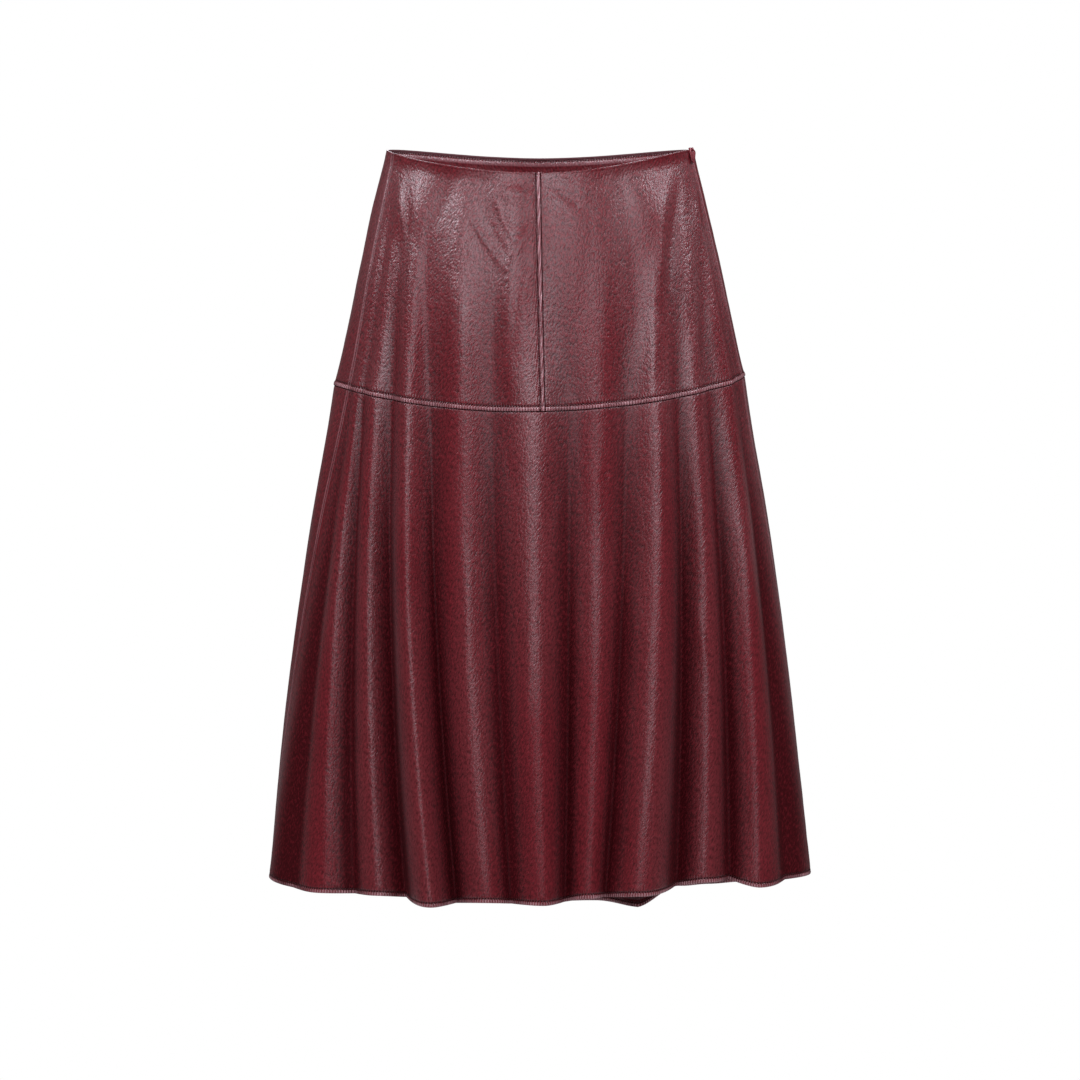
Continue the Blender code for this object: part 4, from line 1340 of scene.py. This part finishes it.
class SKIRT_OT_zip_tape(bpy.types.Operator):
    """Make the concealed zip's tape and coil"""

    bl_idname = "skirt.zip_tape"
    bl_label = "Zip Tape"

    def execute(self, context):
        weave = woven_tape("zip_tape_weave_face")
        tape = zip_tape_cloth()
        cloth_piece("zip_tape_cloth", tape, "zip_tape", weave, weave, "zip_tape")
        middle = tape.points.shape[1] // 2
        line = tape.points[:, middle] - tape.normals[:, middle] * ZIP_TAPE_WALL
        lines = [(line, -tape.normals[:, middle])]
        coil = stitches("zip_coil", lines, COIL_PITCH, COIL_SIZE, COIL_LIFT, weave)
        piece(coil, "skirt", "zip_tape")
        return {"FINISHED"}


class SKIRT_OT_zip_hardware(bpy.types.Operator):
    """Make the zip's slider and its pull tab"""

    bl_idname = "skirt.zip_hardware"
    bl_label = "Zip Hardware"

    def execute(self, context):
        piece(make_slider(), "skirt", "zip_metal", "zip_slider")
        piece(make_tab(), "pull_tab", "zip_metal", "zip_pull_tab")
        return {"FINISHED"}


class SKIRT_OT_topstitching(bpy.types.Operator):
    """Sew the rows of stitches that show"""

    bl_idname = "skirt.topstitching"
    bl_label = "Topstitching"

    def execute(self, context):
        sewing = context.scene.skirt_sewing
        finish = spotted("topstitch_thread", *THREAD)
        size = (sewing.stitch_length, sewing.thread_width, sewing.thread_width)
        above_seam = row_at(YOKE_WELT, YOKE_STITCH_ROW, True)
        above_hem = row_at(HEM_TURN, HEM_STITCH_ROW, True)
        under_roll = row_at(FACING_ROLL, UNDERSTITCH_ROW)
        beside_centre = np.s_[:, row_at(CENTRE_WELT, CENTRE_STITCH_ROW, True)]
        yoke = [yoke_cloth(name) for name in YOKE]
        hems = [flared_cloth(lines) for lines in (FRONT_LINES, BACK_LINES)]

        def outside(cloth, row):
            return cloth.points[row], cloth.normals[row]

        def inside(cloth, row):
            return inner_side(cloth)[row], -cloth.normals[row]

        rows = {
            "yoke_topstitch": [outside(cloth, above_seam) for cloth in yoke],
            "centre_topstitch": [outside(yoke[0], beside_centre)],
            "hem_topstitch": [outside(cloth, above_hem) for cloth in hems],
            "hem_inner_stitch": [inside(cloth, above_hem) for cloth in hems],
            "waist_understitch": [inside(facing_cloth(), under_roll)],
        }
        for name, lines in rows.items():
            piece(stitches(name, lines, STITCH_PITCH, size, STITCH_LIFT, finish), "skirt", "leather")
        return {"FINISHED"}


class SKIRT_OT_stage(bpy.types.Operator):
    """Lay the floor, light the room and set up the camera"""

    bl_idname = "skirt.stage"
    bl_label = "Stage"

    def execute(self, context):
        settings = context.scene.skirt_stage
        make_floor(settings.floor_height)
        make_room(settings.surround)
        for light in SOFTBOXES:
            make_softbox(light, settings.key_power)
        make_camera()
        return {"FINISHED"}


def make_floor(height):
    """A pale floor, some way under the skirt."""
    bpy.ops.object.select_all(action="DESELECT")
    bpy.ops.mesh.primitive_circle_add(
        vertices=FLOOR_CORNERS, radius=FLOOR_RADIUS, fill_type="NGON", location=(0, 0, height)
    )
    floor = settled()
    floor.name = "floor"
    finish = Finish("floor_paint")
    clouds = finish.clouds(finish.space(*FLOOR_PATCHES), FINE)
    rough = clouds * FLOOR_ROUGHNESS[0] + FLOOR_ROUGHNESS[1]
    floor.data.materials.append(finish.show(finish.tone(clouds, *FLOOR_COLOURS), rough))


def make_room(surround):
    """An even pale room: white to look at, and dimmer as a light."""
    world = bpy.data.worlds.new("pale_room")
    bpy.context.scene.world = world
    world.use_nodes = True
    nodes, links = world.node_tree.nodes, world.node_tree.links
    background = nodes["Background"]
    background.inputs["Color"].default_value = (1, 1, 1, 1)
    seen = nodes.new("ShaderNodeLightPath")
    strength = nodes.new("ShaderNodeMapRange")
    strength.inputs["To Min"].default_value = surround
    strength.inputs["To Max"].default_value = 1.0
    links.new(seen.outputs["Is Camera Ray"], strength.inputs["Value"])
    links.new(strength.outputs[0], background.inputs["Strength"])
    bpy.context.scene.view_settings.view_transform = "Standard"


def make_softbox(light, power):
    """A large soft light that faces the skirt."""
    lamp = bpy.data.lights.new(light.name, "AREA")
    lamp.shape = "RECTANGLE"
    lamp.size, lamp.size_y = light.width, light.height
    lamp.energy = power * light.share
    lamp.color = LAMP_COLOUR
    item = bpy.data.objects.new(light.name, lamp)
    item.location = light.place
    item.rotation_euler = (Vector(light.aim) - Vector(light.place)).to_track_quat("-Z", "Y").to_euler()
    item.visible_camera = False
    bpy.context.scene.collection.objects.link(item)


def make_camera():
    """A level camera straight in front."""
    lens = bpy.data.cameras.new("camera")
    lens.lens = CAMERA_LENS
    camera = bpy.data.objects.new("camera", lens)
    camera.location = CAMERA_PLACE
    camera.rotation_euler = (math.pi / 2, 0, 0)
    bpy.context.scene.collection.objects.link(camera)
    bpy.context.scene.camera = camera


class SKIRT_PT_panel(bpy.types.Panel):
    """The skirt's settings and pieces"""

    bl_idname = "SKIRT_PT_panel"
    bl_label = "Leather Skirt"
    bl_space_type = "VIEW_3D"
    bl_region_type = "UI"
    bl_category = "Skirt"

    def draw(self, context):
        for name, group in GROUPS.items():
            for setting in group.__annotations__:
                self.layout.prop(getattr(context.scene, name), setting)
        for operator in OPERATORS:
            self.layout.operator(operator.bl_idname)


GROUPS = {
    "skirt_leather": SkirtLeatherSettings,
    "skirt_sewing": SkirtSewingSettings,
    "skirt_stage": SkirtStageSettings,
}
OPERATORS = (
    SKIRT_OT_front_yoke,
    SKIRT_OT_back_yoke,
    SKIRT_OT_flared_panels,
    SKIRT_OT_zip_tape,
    SKIRT_OT_zip_hardware,
    SKIRT_OT_topstitching,
    SKIRT_OT_stage,
)


def register():
    """Add the classes and the settings."""
    for name, group in GROUPS.items():
        bpy.utils.register_class(group)
        setattr(bpy.types.Scene, name, PointerProperty(type=group))
    for item in (*OPERATORS, SKIRT_PT_panel):
        bpy.utils.register_class(item)


def unregister():
    """Take the classes and the settings out again."""
    for item in (SKIRT_PT_panel, *reversed(OPERATORS)):
        bpy.utils.unregister_class(item)
    for name, group in GROUPS.items():
        delattr(bpy.types.Scene, name)
        bpy.utils.unregister_class(group)


def main():
    """Make the whole skirt."""
    register()
    bpy.ops.skirt.front_yoke()
    bpy.ops.skirt.back_yoke()
    bpy.ops.skirt.flared_panels()
    bpy.ops.skirt.zip_tape()
    bpy.ops.skirt.zip_hardware()
    bpy.ops.skirt.topstitching()
    bpy.ops.skirt.stage()


if __name__ == "__main__":
    main()
